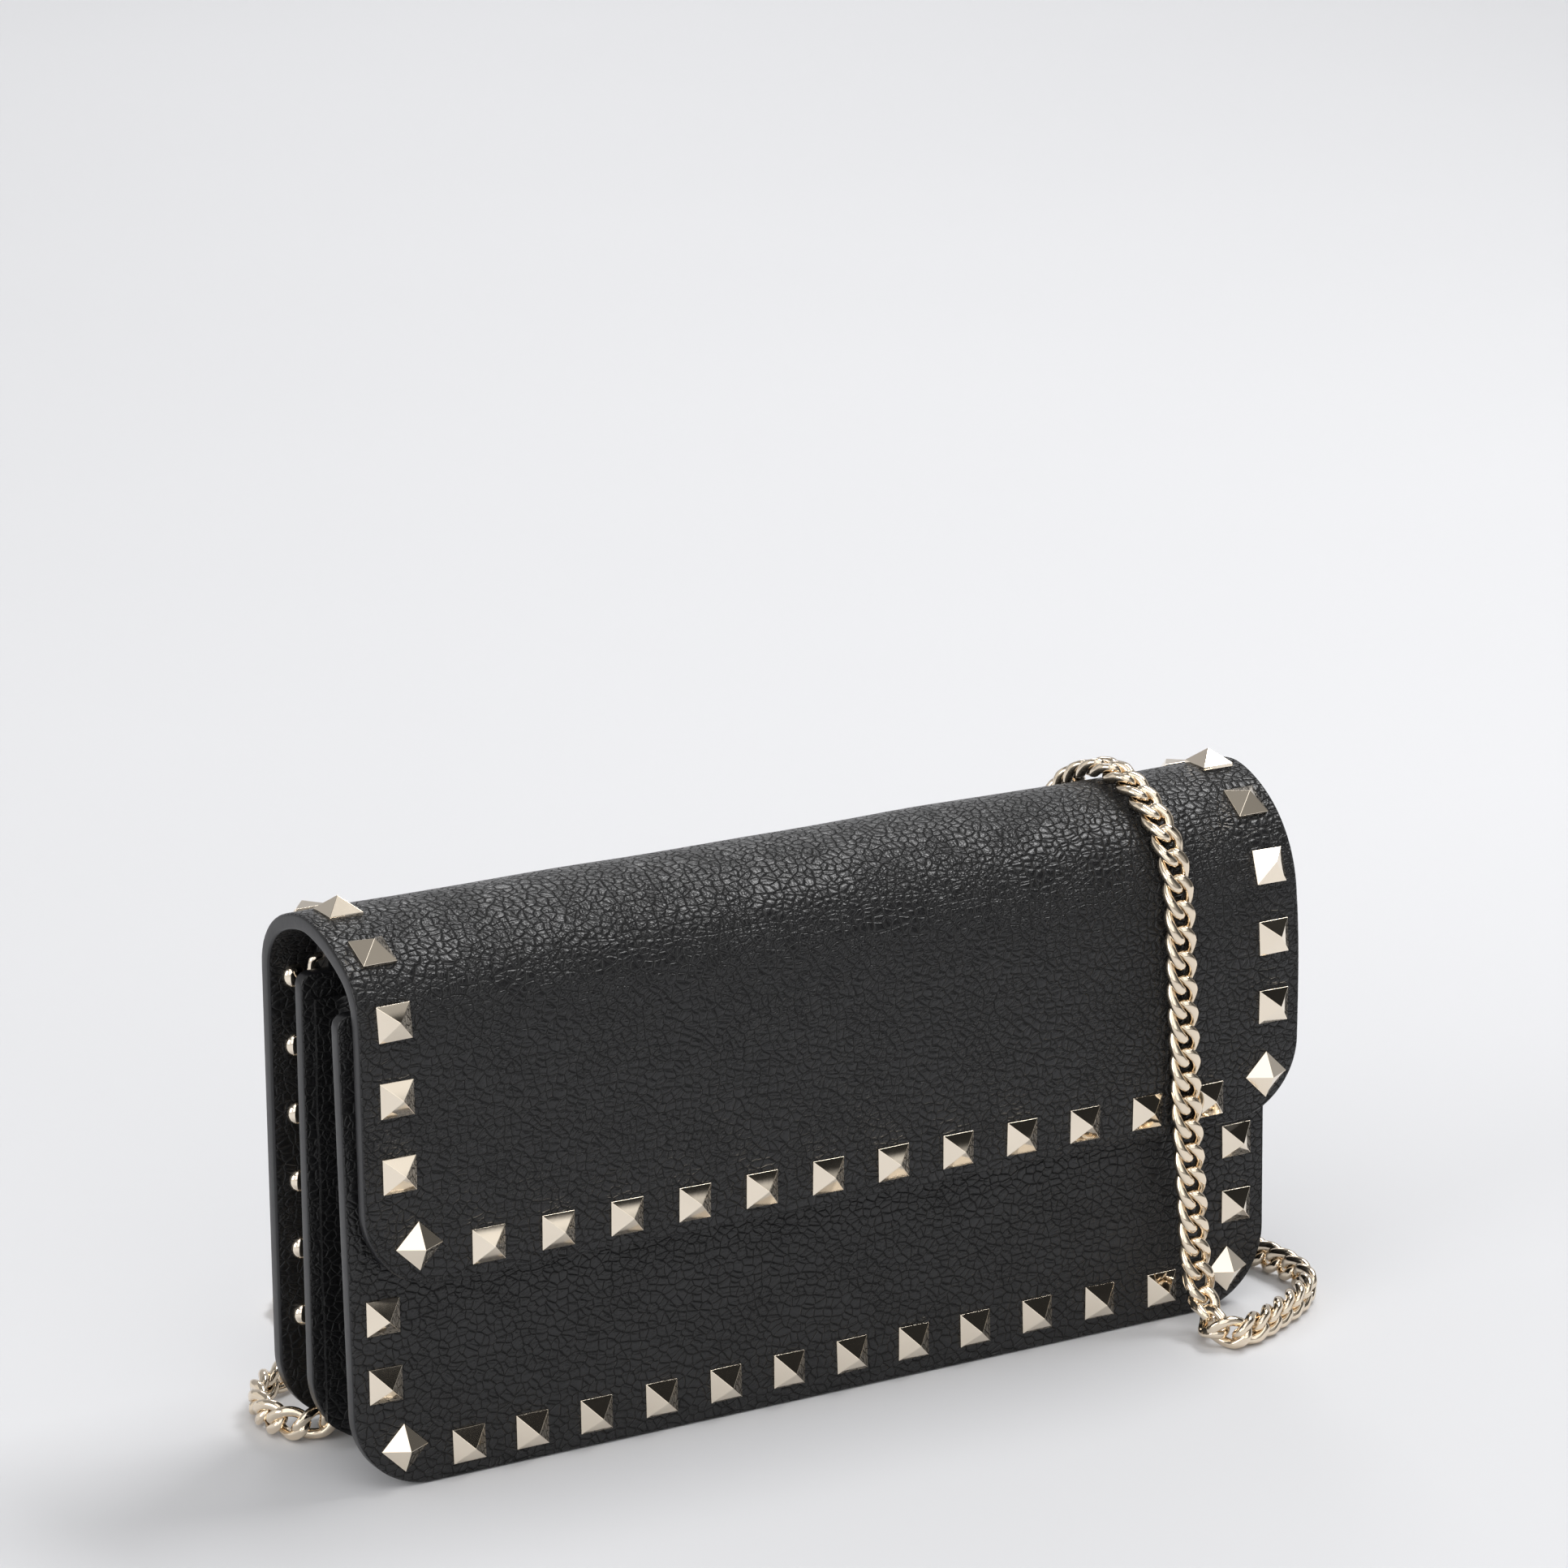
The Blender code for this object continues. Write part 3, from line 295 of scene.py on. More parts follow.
def smooth_curve(knots, per_span):
    pts = [Vector(k) for k in knots]
    pts = [2 * pts[0] - pts[1]] + pts + [2 * pts[-1] - pts[-2]]
    out = []
    for p0, p1, p2, p3 in zip(pts, pts[1:], pts[2:], pts[3:]):
        t0 = 0.0
        t1 = t0 + max((p1 - p0).length, 1e-6) ** 0.5
        t2 = t1 + max((p2 - p1).length, 1e-6) ** 0.5
        t3 = t2 + max((p3 - p2).length, 1e-6) ** 0.5
        for i in range(per_span):
            t = t1 + (t2 - t1) * i / per_span
            a1 = (t1 - t) / (t1 - t0) * p0 + (t - t0) / (t1 - t0) * p1
            a2 = (t2 - t) / (t2 - t1) * p1 + (t - t1) / (t2 - t1) * p2
            a3 = (t3 - t) / (t3 - t2) * p2 + (t - t2) / (t3 - t2) * p3
            b1 = (t2 - t) / (t2 - t0) * a1 + (t - t0) / (t2 - t0) * a2
            b2 = (t3 - t) / (t3 - t1) * a2 + (t - t1) / (t3 - t1) * a3
            out.append((t2 - t) / (t2 - t1) * b1 + (t - t1) / (t2 - t1) * b2)
    out.append(pts[-2])
    return out


class Profile:
    def __init__(self, knots, per_span=24):
        self.points = np.array([list(p) for p in smooth_curve(knots, per_span)])
        steps = np.linalg.norm(np.diff(self.points, axis=0), axis=1)
        self.at = np.concatenate([[0.0], np.cumsum(steps)])
        self.length = float(self.at[-1])

    def point(self, share):
        s = np.asarray(share, float) * self.length
        y = np.interp(s, self.at, self.points[:, 0])
        z = np.interp(s, self.at, self.points[:, 1])
        # straight on past either end
        a = (self.points[1] - self.points[0]) / (self.at[1] - self.at[0])
        b = (self.points[-1] - self.points[-2]) / (self.at[-1] - self.at[-2])
        low, high = np.minimum(s, 0.0), np.maximum(s - self.length, 0.0)
        return y + a[0] * low + b[0] * high, z + a[1] * low + b[1] * high


# The flap's outer surface in (y, z) at its two ends: the left end has a fuller
# front shoulder than the right.
ARCH_L = Profile([
    (38.4, 92.0), (38.4, 93.0), (37.2, 97.0), (33.6, 101.3), (28.3, 104.2), (20.5, 106.0), (13.8, 105.2), (7.3, 102.9),
    (1.6, 99.6), (-1.4, 95.4), (-2.4, 89.0), (-2.6, 78.0), (-2.9, 60.0), (-3.1, 40.0),
])
ARCH_M = Profile([
    (38.4, 92.0), (38.4, 93.0), (37.4, 96.9), (33.7, 101.3), (27.9, 104.5), (21.0, 106.0), (14.2, 105.2), (7.4, 102.3),
    (2.0, 98.0), (-0.9, 92.4), (-2.0, 85.5), (-2.4, 76.0), (-2.8, 60.0), (-3.0, 40.0),
])
ARCH_R = Profile([
    (38.4, 92.0), (38.4, 93.0), (37.5, 96.9), (33.9, 101.2), (27.9, 104.6), (21.0, 105.9), (13.6, 104.0), (7.2, 100.2),
    (2.6, 95.2), (-0.2, 89.6), (-1.6, 82.6), (-2.5, 73.0), (-2.9, 60.0), (-3.0, 40.0),
])
ARCH_LEN = ARCH_M.length


def arch_point(x, s):
    """Outer surface at x and length s (mm) along the flap from the fold."""
    x, s = np.asarray(x, float), np.asarray(s, float)
    share = s / ARCH_LEN
    t = np.clip((x - WRAP_X[0]) / (WRAP_X[1] - WRAP_X[0]), 0.0, 1.0)
    left, mid, right = ARCH_L.point(share), ARCH_M.point(share), ARCH_R.point(share)
    wl = np.clip(1 - 2 * t, 0, 1) ** 1.2
    wr = np.clip(2 * t - 1, 0, 1) ** 1.2
    wm = 1 - wl - wr
    return (left[0] * wl + mid[0] * wm + right[0] * wr, left[1] * wl + mid[1] * wm + right[1] * wr)


def wrap_place(x, s, d):
    """Back panel and flap as one strip: s is 0 at the back's bottom edge. d is
    the depth under the outer face."""
    x, s, d = np.broadcast_arrays(np.asarray(x, float), np.asarray(s, float), np.asarray(d, float))
    on_flap = s > FOLD_Z

    def outer(q):
        y, z = arch_point(x, q - FOLD_Z)
        return np.where(q > FOLD_Z, y, BACK_Y), np.where(q > FOLD_Z, z, q)

    y, z = outer(s)
    e = 1.2
    y0, z0 = outer(s - e)
    y1, z1 = outer(s + e)
    ty, tz = y1 - y0, z1 - z0
    size = np.hypot(ty, tz)
    ny, nz = tz / size, -ty / size
    return np.stack([x, y - ny * d, z - nz * d], axis=-1), np.stack([x * 0, ny, nz], axis=-1)


LEAN = math.radians(FRONT_LEAN)


def front_place(x, s, d):
    """The front panel: s up its face, leaning back from its bottom edge."""
    x, s, d = np.broadcast_arrays(np.asarray(x, float), np.asarray(s, float), np.asarray(d, float))
    y = d * math.cos(LEAN) + s * math.sin(LEAN)
    z = s * math.cos(LEAN) - d * math.sin(LEAN) + 0.06
    n = np.stack([x * 0, x * 0 - math.cos(LEAN), x * 0 + math.sin(LEAN)], axis=-1)
    return np.stack([x, y, z], axis=-1), n


def flat_place(face, sign):
    def place(x, s, d):
        x, s, d = np.broadcast_arrays(np.asarray(x, float), np.asarray(s, float), np.asarray(d, float))
        n = np.stack([x * 0, x * 0 + sign, x * 0], axis=-1)
        return np.stack([x, face - sign * d, s], axis=-1), n
    return place


def rounded(x0, x1, s0, s1, low_r, top_r, step=1.6):
    """Rounded rectangle in (x, s) with even points, counter-clockwise."""
    corners = [(x0 + low_r, s0 + low_r, low_r, 180), (x1 - low_r, s0 + low_r, low_r, 270),
               (x1 - top_r, s1 - top_r, top_r, 0), (x0 + top_r, s1 - top_r, top_r, 90)]
    raw = []
    for cx, cs, r, start in corners:
        count = max(3, int(r * 1.6))
        for i in range(count + 1):
            a = math.radians(start + 90 * i / count)
            raw.append((cx + r * math.cos(a), cs + r * math.sin(a), math.cos(a), math.sin(a)))
    raw = np.array(raw)
    out = []
    for a, b in zip(raw, np.roll(raw, -1, axis=0)):
        n = max(1, int(math.ceil(np.hypot(*(b - a)[:2]) / step)))
        for i in range(n):
            p = a + (b - a) * i / n
            p[2:] /= np.hypot(p[2], p[3])
            out.append(p)
    return np.array(out)


def shell(name, place, shape, thick, mats, step=2.2, edge=0.5, relief=None, inner_relief=None, uv_shift=(0.0, 0.0)):
    """A lined leather panel: outer face, rounded painted edge, inner face.
    mats are for the outer face, the edge and the inner face."""
    ring = rounded(*shape)
    levels = []          # (inset, depth) from the outer face round the edge to the inner face
    turns = 4
    for i in range(turns + 1):
        a = math.pi / 2 * i / turns
        levels.append((edge * (1 - math.sin(a)), edge * (1 - math.cos(a))))
    for i in range(turns + 1):
        a = math.pi / 2 * i / turns
        levels.append((edge * (1 - math.cos(a)), thick - edge * (1 - math.sin(a))))
    if thick - 2 * edge < 0.05:
        levels.pop(turns)
    count = len(ring)
    inside = ring[:, :2] - ring[:, 2:] * edge
    x0, x1, s0, s1 = shape[:4]
    xs = np.arange(x0 + step, x1 - step * 0.5, step)
    ss = np.arange(s0 + step, s1 - step * 0.5, step)
    gx, gs = np.meshgrid(xs, ss)
    rows = (np.arange(len(ss)) % 2)[:, None] * step * 0.5
    grid = np.stack([(gx + rows).ravel(), gs.ravel()], axis=-1)
    # keep the points that lie well inside the inset ring
    a, b = inside, np.roll(inside, -1, axis=0)
    keep = np.ones(len(grid), bool)
    for p, q in zip(a, b):
        d = q - p
        size = np.hypot(*d)
        if size < 1e-6:
            continue
        away = ((grid[:, 0] - p[0]) * -d[1] + (grid[:, 1] - p[1]) * d[0]) / size
        keep &= away > step * 0.45
    grid = grid[keep]
    flat = np.vstack([inside, grid])
    edges = [(i, (i + 1) % count) for i in range(count)]
    got = geometry.delaunay_2d_cdt([Vector(p) for p in flat], edges, [list(range(count))], 1, 1e-6)
    points = np.array([list(v) for v in got[0]])
    tris = [tuple(f) for f in got[2]]
    assert len(points) == len(flat), (name, len(points), len(flat))
    verts, normals, uvs = [], [], []
    outer, n = place(points[:, 0], points[:, 1], 0.0)
    if relief is not None:
        outer = outer + n * relief(points[:, 0], points[:, 1])[:, None]
    verts.append(outer)
    uvs.append(points * MM + uv_shift)
    faces, fm = [], []
    base = np.array(tris)
    cross = np.cross(outer[base[:, 1]] - outer[base[:, 0]], outer[base[:, 2]] - outer[base[:, 0]])
    flip = np.einsum("ij,ij->i", cross, n[base[:, 0]]).mean() < 0
    for t in tris:
        faces.append(t[::-1] if flip else t)
        fm.append(0)
    start = len(outer)
    previous = list(range(count))
    for k, (inset, depth) in enumerate(levels[1:-1], 1):
        q = ring[:, :2] - ring[:, 2:] * inset
        p, _ = place(q[:, 0], q[:, 1], depth)
        verts.append(p)
        uvs.append((ring[:, :2] + ring[:, 2:] * depth) * MM + uv_shift)
        current = [start + i for i in range(count)]
        start += count
        for i in range(count):
            j = (i + 1) % count
            quad = (previous[i], previous[j], current[j], current[i])
            faces.append(quad if flip else quad[::-1])
            fm.append(1 if k > 2 else 0)
        previous = current
    inner, n2 = place(points[:, 0], points[:, 1], thick)
    if inner_relief is not None:
        inner = inner - n2 * inner_relief(points[:, 0], points[:, 1])[:, None]
    verts.append(inner)
    uvs.append(points * MM + (0.37, 0.61))
    for i in range(count):
        j = (i + 1) % count
        quad = (previous[i], previous[j], start + j, start + i)
        faces.append(quad if flip else quad[::-1])
        fm.append(1)
    for t in tris:
        t = tuple(start + i for i in t)
        faces.append(t if flip else t[::-1])
        fm.append(2)
    verts = np.vstack(verts)
    verts = (verts + np.array(SHIFT)) * MM
    return mesh_object(name, verts, faces, mats, fm, np.vstack(uvs))


def unevenness(seed, size, amount, spots=(), reach=5.2, sink=0.16):
    """Slow waves of a soft hide, and a shallow dip round each stud."""
    def relief(x, s):
        out = np.array([noise.noise(Vector((a / size + seed, b / size, seed * 0.7))) for a, b in zip(x, s)]) * amount
        for cx, cs in spots:
            r = np.hypot(x - cx, s - cs)
            out -= sink * np.clip(1 - (r / reach) ** 2, 0, 1) ** 1.5
        return out
    return relief


# ---- chain ------------------------------------------------------------------
CHAIN_W, PITCH, WIRE = 6.6, 4.95, 1.02
LEFT_X, RIGHT_X = -87.6, 91.6
TOP = 66.5
EDGE_Z, FLAT_Z = 3.3, 1.9
# each point is (x, y, z, how flat the band lies: 0 on its edge, 1 flat)
ROUTE_IN = [
    (LEFT_X, 30.0, TOP), (LEFT_X, 30.1, 52.0), (LEFT_X - 0.4, 30.1, 36.0), (LEFT_X - 0.6, 30.1, 20.0),
    (-88.4, 30.1, 10.5), (-90.8, 29.8, 5.2), (-94.4, 28.8, 3.6), (-98.2, 29.8, 3.5), (-100.7, 34.4, 3.5),
    (-100.6, 41.0, 3.5), (-97.6, 47.6, 3.5), (-90.8, 52.4, 3.7), (-76.0, 54.8, 3.7),
    (-40.0, 54.0, 2.7), (0.0, 53.0, 2.1), (40.0, 54.0, 2.1), (72.0, 55.0, 2.1),
    (84.0, 58.4, 2.1), (89.0, 66.6, 2.1), (83.0, 75.0, 2.1), (70.0, 77.6, 2.1), (40.0, 76.6, 2.1),
    (0.0, 75.8, 2.1), (-40.0, 76.0, 2.1), (-64.0, 78.4, 2.1), (-72.5, 86.6, 2.1), (-66.0, 96.4, 2.1), (-46.0, 99.8, 2.1), (-12.0, 98.6, 2.1),
    (24.0, 94.0, 2.6), (42.0, 84.0, 7.0),
]
RISE = [(51.5, 71.0, 9.8), (57.5, 58.0, 9.6), (62.0, 49.4, 14.0), (65.6, 45.6, 26.0), (69.2, 44.2, 45.0), (72.0, 43.6, 64.0), (73.8, 43.1, 81.0)]
OVER_X = [
    (74.6, 0.01), (74.8, 0.06), (75.0, 0.11), (75.2, 0.165), (75.4, 0.215), (75.5, 0.27), (75.6, 0.335),
    (75.7, 0.4), (75.7, 0.46), (75.7, 0.53), (75.7, 0.61), (75.9, 0.71), (76.7, 0.83), (77.6, 0.965),
]
STAND = 1.95       # the chain's middle above the leather
OVER = []
for x, share in OVER_X:
    p, n = wrap_place(x, FOLD_Z + share * ARCH_LEN, -STAND)
    OVER.append(tuple(float(v) for v in p))
ROUTE_OUT = [
    (78.8, -5.3, 28.0), (79.7, -6.2, 14.0), (79.9, -8.6, 7.4), (78.6, -13.0, 4.4),
]
ROUTE_END = [
    (77.9, -17.2, 3.4), (81.0, -19.9, 3.4), (87.0, -18.6, 3.4), (94.0, -15.2, 3.4), (101.2, -11.0, 3.4), (107.0, -5.6, 3.4),
    (109.4, 1.6, 3.4), (109.2, 10.0, 3.4), (107.4, 19.0, 3.4), (103.0, 26.0, 3.5), (97.0, 29.4, 4.8),
    (92.8, 30.1, 10.5), (RIGHT_X + 0.4, 30.1, 20.0), (RIGHT_X + 0.2, 30.1, 36.0), (RIGHT_X, 30.1, 52.0), (RIGHT_X, 30.0, TOP),
]
SPOTS = ROUTE_IN + RISE + OVER + ROUTE_OUT + ROUTE_END


def band_normal(k):
    """The way the flat of the band faces at route point k."""
    a, b = Vector(SPOTS[max(k - 1, 0)]), Vector(SPOTS[min(k + 1, len(SPOTS) - 1)])
    t = (b - a).normalized()
    i_in, i_rise = len(ROUTE_IN), len(ROUTE_IN) + len(RISE)
    i_over, i_out = i_rise + len(OVER), i_rise + len(OVER) + len(ROUTE_OUT)
    side = Vector((t.y, -t.x, 0.0))
    side = side.normalized() if side.length > 0.3 else None
    up = Vector((0, 0, 1))
    if k < 5:
        return Vector((-1, 0, 0))
    if k < 13:
        # on its edge round the left loop, outer side facing out of the bend
        return (side or Vector((0, -1, 0)))
    if k < i_in:
        f = min((k - 12) / 2.0, 1.0)
        return (side * (1 - f) + up * f).normalized()
    if k < i_rise:
        f = (k - i_in) / len(RISE)
        return (up * (1 - min(f * 2.2, 1.0)) + Vector((0, 1, 0)) * min(f * 2.2, 1.0) + Vector((0.001, 0, 0))).normalized()
    if k < i_over:
        x, share = OVER_X[k - i_rise]
        _, n = wrap_place(x, FOLD_Z + share * ARCH_LEN, 0.0)
        return Vector([float(v) for v in n])
    if k < i_out:
        return Vector((-0.15 * (k - i_over + 1) / len(ROUTE_OUT), -1, 0.08)).normalized()
    if k < len(SPOTS) - 4:
        return side or Vector((1, 0, 0))
    return Vector((1, 0, 0))


def along_route(per_span=14):
    pts = smooth_curve(SPOTS, per_span)
    normals = [band_normal(k) for k in range(len(SPOTS))]
    for i in range(1, len(normals)):           # no sudden half turn
        if normals[i].dot(normals[i - 1]) < -0.2:
            normals[i] = -normals[i]
    ns = []
    for i in range(len(pts)):
        k, f = divmod(i, per_span)
        k2 = min(k + 1, len(normals) - 1)
        f = f / per_span
        f = f * f * (3 - 2 * f)
        ns.append((normals[min(k, len(normals) - 1)] * (1 - f) + normals[k2] * f).normalized())
    return np.array([list(p) for p in pts]), np.array([list(n) for n in ns])


path_pts, path_ns = along_route()
path_at = np.concatenate([[0.0], np.cumsum(np.linalg.norm(np.diff(path_pts, axis=0), axis=1))])
CHAIN_LENGTH = float(path_at[-1])


def on_path(s):
    p = np.array([np.interp(s, path_at, path_pts[:, i]) for i in range(3)])
    n = np.array([np.interp(s, path_at, path_ns[:, i]) for i in range(3)])
    h = 2.2
    a = np.array([np.interp(s - h, path_at, path_pts[:, i]) for i in range(3)])
    b = np.array([np.interp(s + h, path_at, path_pts[:, i]) for i in range(3)])
    t = (b - a) / np.linalg.norm(b - a)
    n = n - t * (n @ t)
    n /= np.linalg.norm(n)
    return p, t, n, np.cross(n, t)


def link_mesh(turns=36, sides=10):
    """One curb link at the origin: u along the chain, v across, w out of its
    flat. A twisted oval of round wire with its two faces cut flat."""
    a, b = (PITCH + 2 * WIRE) / 2 + 0.02, CHAIN_W / 2 - WIRE
    twist = -math.radians(50)

    def centre(t):
        c, s = math.cos(t), math.sin(t)
        u = a * math.copysign(abs(c) ** 0.86, c)
        v = b * math.copysign(abs(s) ** 0.80, s)
        angle = twist * u / a
        return np.array([u, v * math.cos(angle), v * math.sin(angle)])

    verts = []
    ts = [2 * math.pi * i / turns for i in range(turns)]
    for t in ts:
        p = centre(t)
        d = centre(t + 0.02) - centre(t - 0.02)
        d /= np.linalg.norm(d)
        out = np.array([p[0] * 0.6, p[1], 0.0])
        out = out - d * (out @ d)
        out /= np.linalg.norm(out)
        third = np.cross(d, out)
        for k in range(sides):
            q = 2 * math.pi * (k + 0.5) / sides
            r = p + (out * math.cos(q) + third * math.sin(q)) * WIRE
            limit = 1.60
            if abs(r[2]) > limit:             # the cut face
                r[2] = math.copysign(limit + (abs(r[2]) - limit) * 0.10, r[2])
            verts.append(r)
    faces = []
    for i in range(turns):
        j = (i + 1) % turns
        for k in range(sides):
            m = (k + 1) % sides
            faces.append((i * sides + k, j * sides + k, j * sides + m, i * sides + m))
    return np.array(verts), faces


LINK_V, LINK_F = link_mesh()
flux = sum(np.dot(LINK_V[f[0]], np.cross(LINK_V[f[1]], LINK_V[f[2]])) + np.dot(LINK_V[f[0]], np.cross(LINK_V[f[2]], LINK_V[f[3]])) for f in LINK_F)
if flux < 0:
    LINK_F = [f[::-1] for f in LINK_F]

LINKS = int(round(CHAIN_LENGTH / PITCH))
link_step = CHAIN_LENGTH / LINKS
# three stretches: the part in the left channel and behind, the part over the
# flap, and the right floor loop with its channel
at_rise = float(path_at[14 * (len(ROUTE_IN) - 1)])
at_floor = float(path_at[14 * (len(ROUTE_IN) + len(RISE) + len(OVER) + len(ROUTE_OUT) - 1)])
cut_1 = int(round(at_rise / link_step))
cut_2 = int(round(at_floor / link_step))


def chain_piece(name, first, last):
    verts, faces = [], []
    for i in range(first, last):
        p, t, n, v = on_path((i + 0.5) * link_step)
        m = np.stack([t, v, n], axis=1)
        base = len(verts) * len(LINK_V)
        scale = np.array([link_step / PITCH, 1.0, 1.0])
        verts.append(((LINK_V * scale) @ m.T + p + np.array(SHIFT)) * MM)
        faces += [tuple(base + k for k in f) for f in LINK_F]
    return mesh_object(name, np.vstack(verts), faces, [CHAIN_GOLD], sharp=50)


def chain_path(first, last):
    out = []
    for s in np.arange(first * link_step, last * link_step + 0.01, link_step):
        p, _, _, _ = on_path(min(s, CHAIN_LENGTH))
        out.append(W(*p))
    return out


chain_cord = chain_piece("chain_strap_links", 0, cut_1)
chain_over = chain_piece("chain_over_flap_links", cut_1, cut_2)
chain_end = chain_piece("chain_right_links", cut_2, LINKS)
path_1, path_2, path_3 = chain_path(0, cut_1), chain_path(cut_1, cut_2), chain_path(cut_2, LINKS)


for piece, path, far in ((chain_cord, path_1, "bare"), (chain_over, path_2, "bare"), (chain_end, path_3, "object")):
    if piece is not chain_over:
        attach(piece, "base")
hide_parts("chain_strap")


# ---- leather panels ---------------------------------------------------------
def row(count, pitch, middle):
    return [middle + (i - (count - 1) / 2) * pitch for i in range(count)]


wrap_length = FOLD_Z + ARCH_LEN
tip = wrap_length
row_s = tip - 5.9
flap_row = [(x, row_s) for x in row(12, 14.35, sum(WRAP_X) / 2 + 1.85)]
flap_corners = [(WRAP_X[0] + 10.6, row_s - 2.3), (WRAP_X[1] - 7.6, row_s - 3.1)]
flap_left = [(WRAP_X[0] + 7.1, tip - 22.3 - 14.2 * i) for i in range(6)]
flap_right = [(WRAP_X[1] - 6.2, tip - 23.2 - 14.2 * i) for i in range(6)]
back_row = [(x, 7.0) for x in row(12, 14.2, sum(WRAP_X) / 2)]
back_corners = [(WRAP_X[0] + 9.6, 7.9), (WRAP_X[1] - 9.6, 7.9)]
back_left = [(WRAP_X[0] + 5.2, 22.8 + 13.36 * i) for i in range(6)]
back_right = [(WRAP_X[1] - 5.2, 22.8 + 13.36 * i) for i in range(6)]
# listed one by one: the pitch opens a little towards the right
front_row = [
    (-77.2, 5.9), (-64.0, 6.0), (-50.5, 6.2), (-36.6, 6.6), (-22.7, 6.7), (-8.9, 6.8),
    (5.0, 7.0), (18.8, 6.9), (32.7, 6.9), (46.9, 7.0), (61.4, 6.9), (76.0, 6.7),
]
front_corners = [(-90.4, 7.9), (91.4, 7.9)]
front_left = [(-93.7, z) for z in (20.8, 34.0)]
front_right = [(93.5, z) for z in (20.9, 34.5)]

wrap_spots = flap_row + flap_corners + flap_left + flap_right + back_row + back_corners + back_left + back_right
wrap = shell(
    "wrap_panel", wrap_place, (WRAP_X[0], WRAP_X[1], 0.0, wrap_length, 15.5, 15.5), T,
    [GRAIN, EDGE, INNER_SHADED], step=2.0, relief=unevenness(3.1, 24.0, 0.30, wrap_spots),
)
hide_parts("back_panel_leather", "back_panel_lining", "flap_leather", "flap_lining")
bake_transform(wrap)
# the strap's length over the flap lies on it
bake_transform(chain_over)

front = shell(
    "front_panel", front_place, (FRONT_X[0], FRONT_X[1], 0.0, FRONT_H, 15.5, 2.4), T,
    [GRAIN_FRONT, EDGE, INNER_SHADED], step=2.2, relief=unevenness(8.3, 26.0, 0.26, front_row + front_corners + front_left + front_right),
    uv_shift=(0.13, 0.27),
)
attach(front, "front_panel")
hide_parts("front_panel_leather", "front_panel_lining", "front_panel_board")

divider = shell(
    "divider", flat_place(MID_Y[0], -1), (MID_X[0], MID_X[1], 0.05, MID_H, 15.5, 2.2), MID_Y[1] - MID_Y[0],
    [INNER_SHADED, EDGE, INNER_SHADED], step=3.0, relief=unevenness(5.7, 22.0, 0.12), uv_shift=(0.71, 0.17),
)
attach(divider, "base")
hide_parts("divider_front_leather", "divider_board", "divider_rear_leather")

for column, cx in (("left", -41.0), ("right", 45.0)):
    for i in range(3):
        y = MID_Y[0] - 0.35 - 0.75 * (i + 1)
        name = f"card_slot_{column}_{i + 1}"
        pocket = shell(
            name + "_leather", flat_place(y, -1), (cx - 39.0, cx + 39.0, 12.0, 78.0 - 13.0 * i, 2.0, 2.0), 0.55,
            [SMOOTH, EDGE, SMOOTH], step=6.0, edge=0.25, uv_shift=(0.2 * i, 0.3),
        )
        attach(pocket, "base")
        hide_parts(name)


# ---- gussets ----------------------------------------------------------------
def fold(name, plan, edge_x, z1, thick, lean=None, rows=14, mats=(INNER_SHADED, EDGE)):
    """A folded web stood up in Z from its plan path, with a soft waviness."""
    pts = [Vector((p[0], p[1], 0)) for p in plan]
    line = [p for p in smooth_curve(pts, 6)]
    left, right = [], []
    for i, p in enumerate(line):
        a, b = line[max(i - 1, 0)], line[min(i + 1, len(line) - 1)]
        t = (b - a).normalized()
        n = Vector((-t.y, t.x, 0)) * thick / 2
        left.append(p + n)
        right.append(p - n)
    loop = left + right[::-1]
    at, total = [0.0], 0.0
    for a, b in zip(loop, loop[1:]):
        total += (b - a).length
        at.append(total)
    verts, uvs, faces, fm = [], [], [], []
    for r in range(rows + 1):
        for p, s in zip(loop, at):
            inside = min(max(15.5 - abs(p.x - edge_x), 0.0), 15.5)
            z0 = 15.5 - math.sqrt(15.5 ** 2 - inside ** 2) + 1.6
            z = z0 + (z1 - z0) * r / rows
            shift = 0.0
            if lean:
                near, far = lean
                f = min(max((far - p.y) / (far - near), 0.0), 1.0)
                shift = f * z * math.tan(LEAN)
            wave = 0.22 * noise.noise(Vector((p.x / 6, p.y / 6, z / 9)))
            verts.append(W(p.x + wave, p.y + shift, z))
            uvs.append((s * MM, z * MM))
    n = len(loop)
    for r in range(rows):
        for i in range(n):
            j = (i + 1) % n
            faces.append((r * n + i, r * n + j, (r + 1) * n + j, (r + 1) * n + i))
            fm.append(0)
    half = len(left)
    for base, turn in ((0, False), (rows * n, True)):
        for i in range(half - 1):
            quad = (base + i, base + i + 1, base + n - 2 - i, base + n - 1 - i)
            faces.append(quad if turn else quad[::-1])
            fm.append(1)
    verts = np.array(verts)
    flux = 0.0
    mid = verts.mean(axis=0)
    for f in faces:
        q = verts[list(f)] - mid
        flux += np.dot(q[0], np.cross(q[1], q[2])) + np.dot(q[0], np.cross(q[2], q[3]))
    if flux < 0:
        faces = [f[::-1] for f in faces]
    return mesh_object(name, verts, faces, list(mats), fm, uvs, sharp=60)


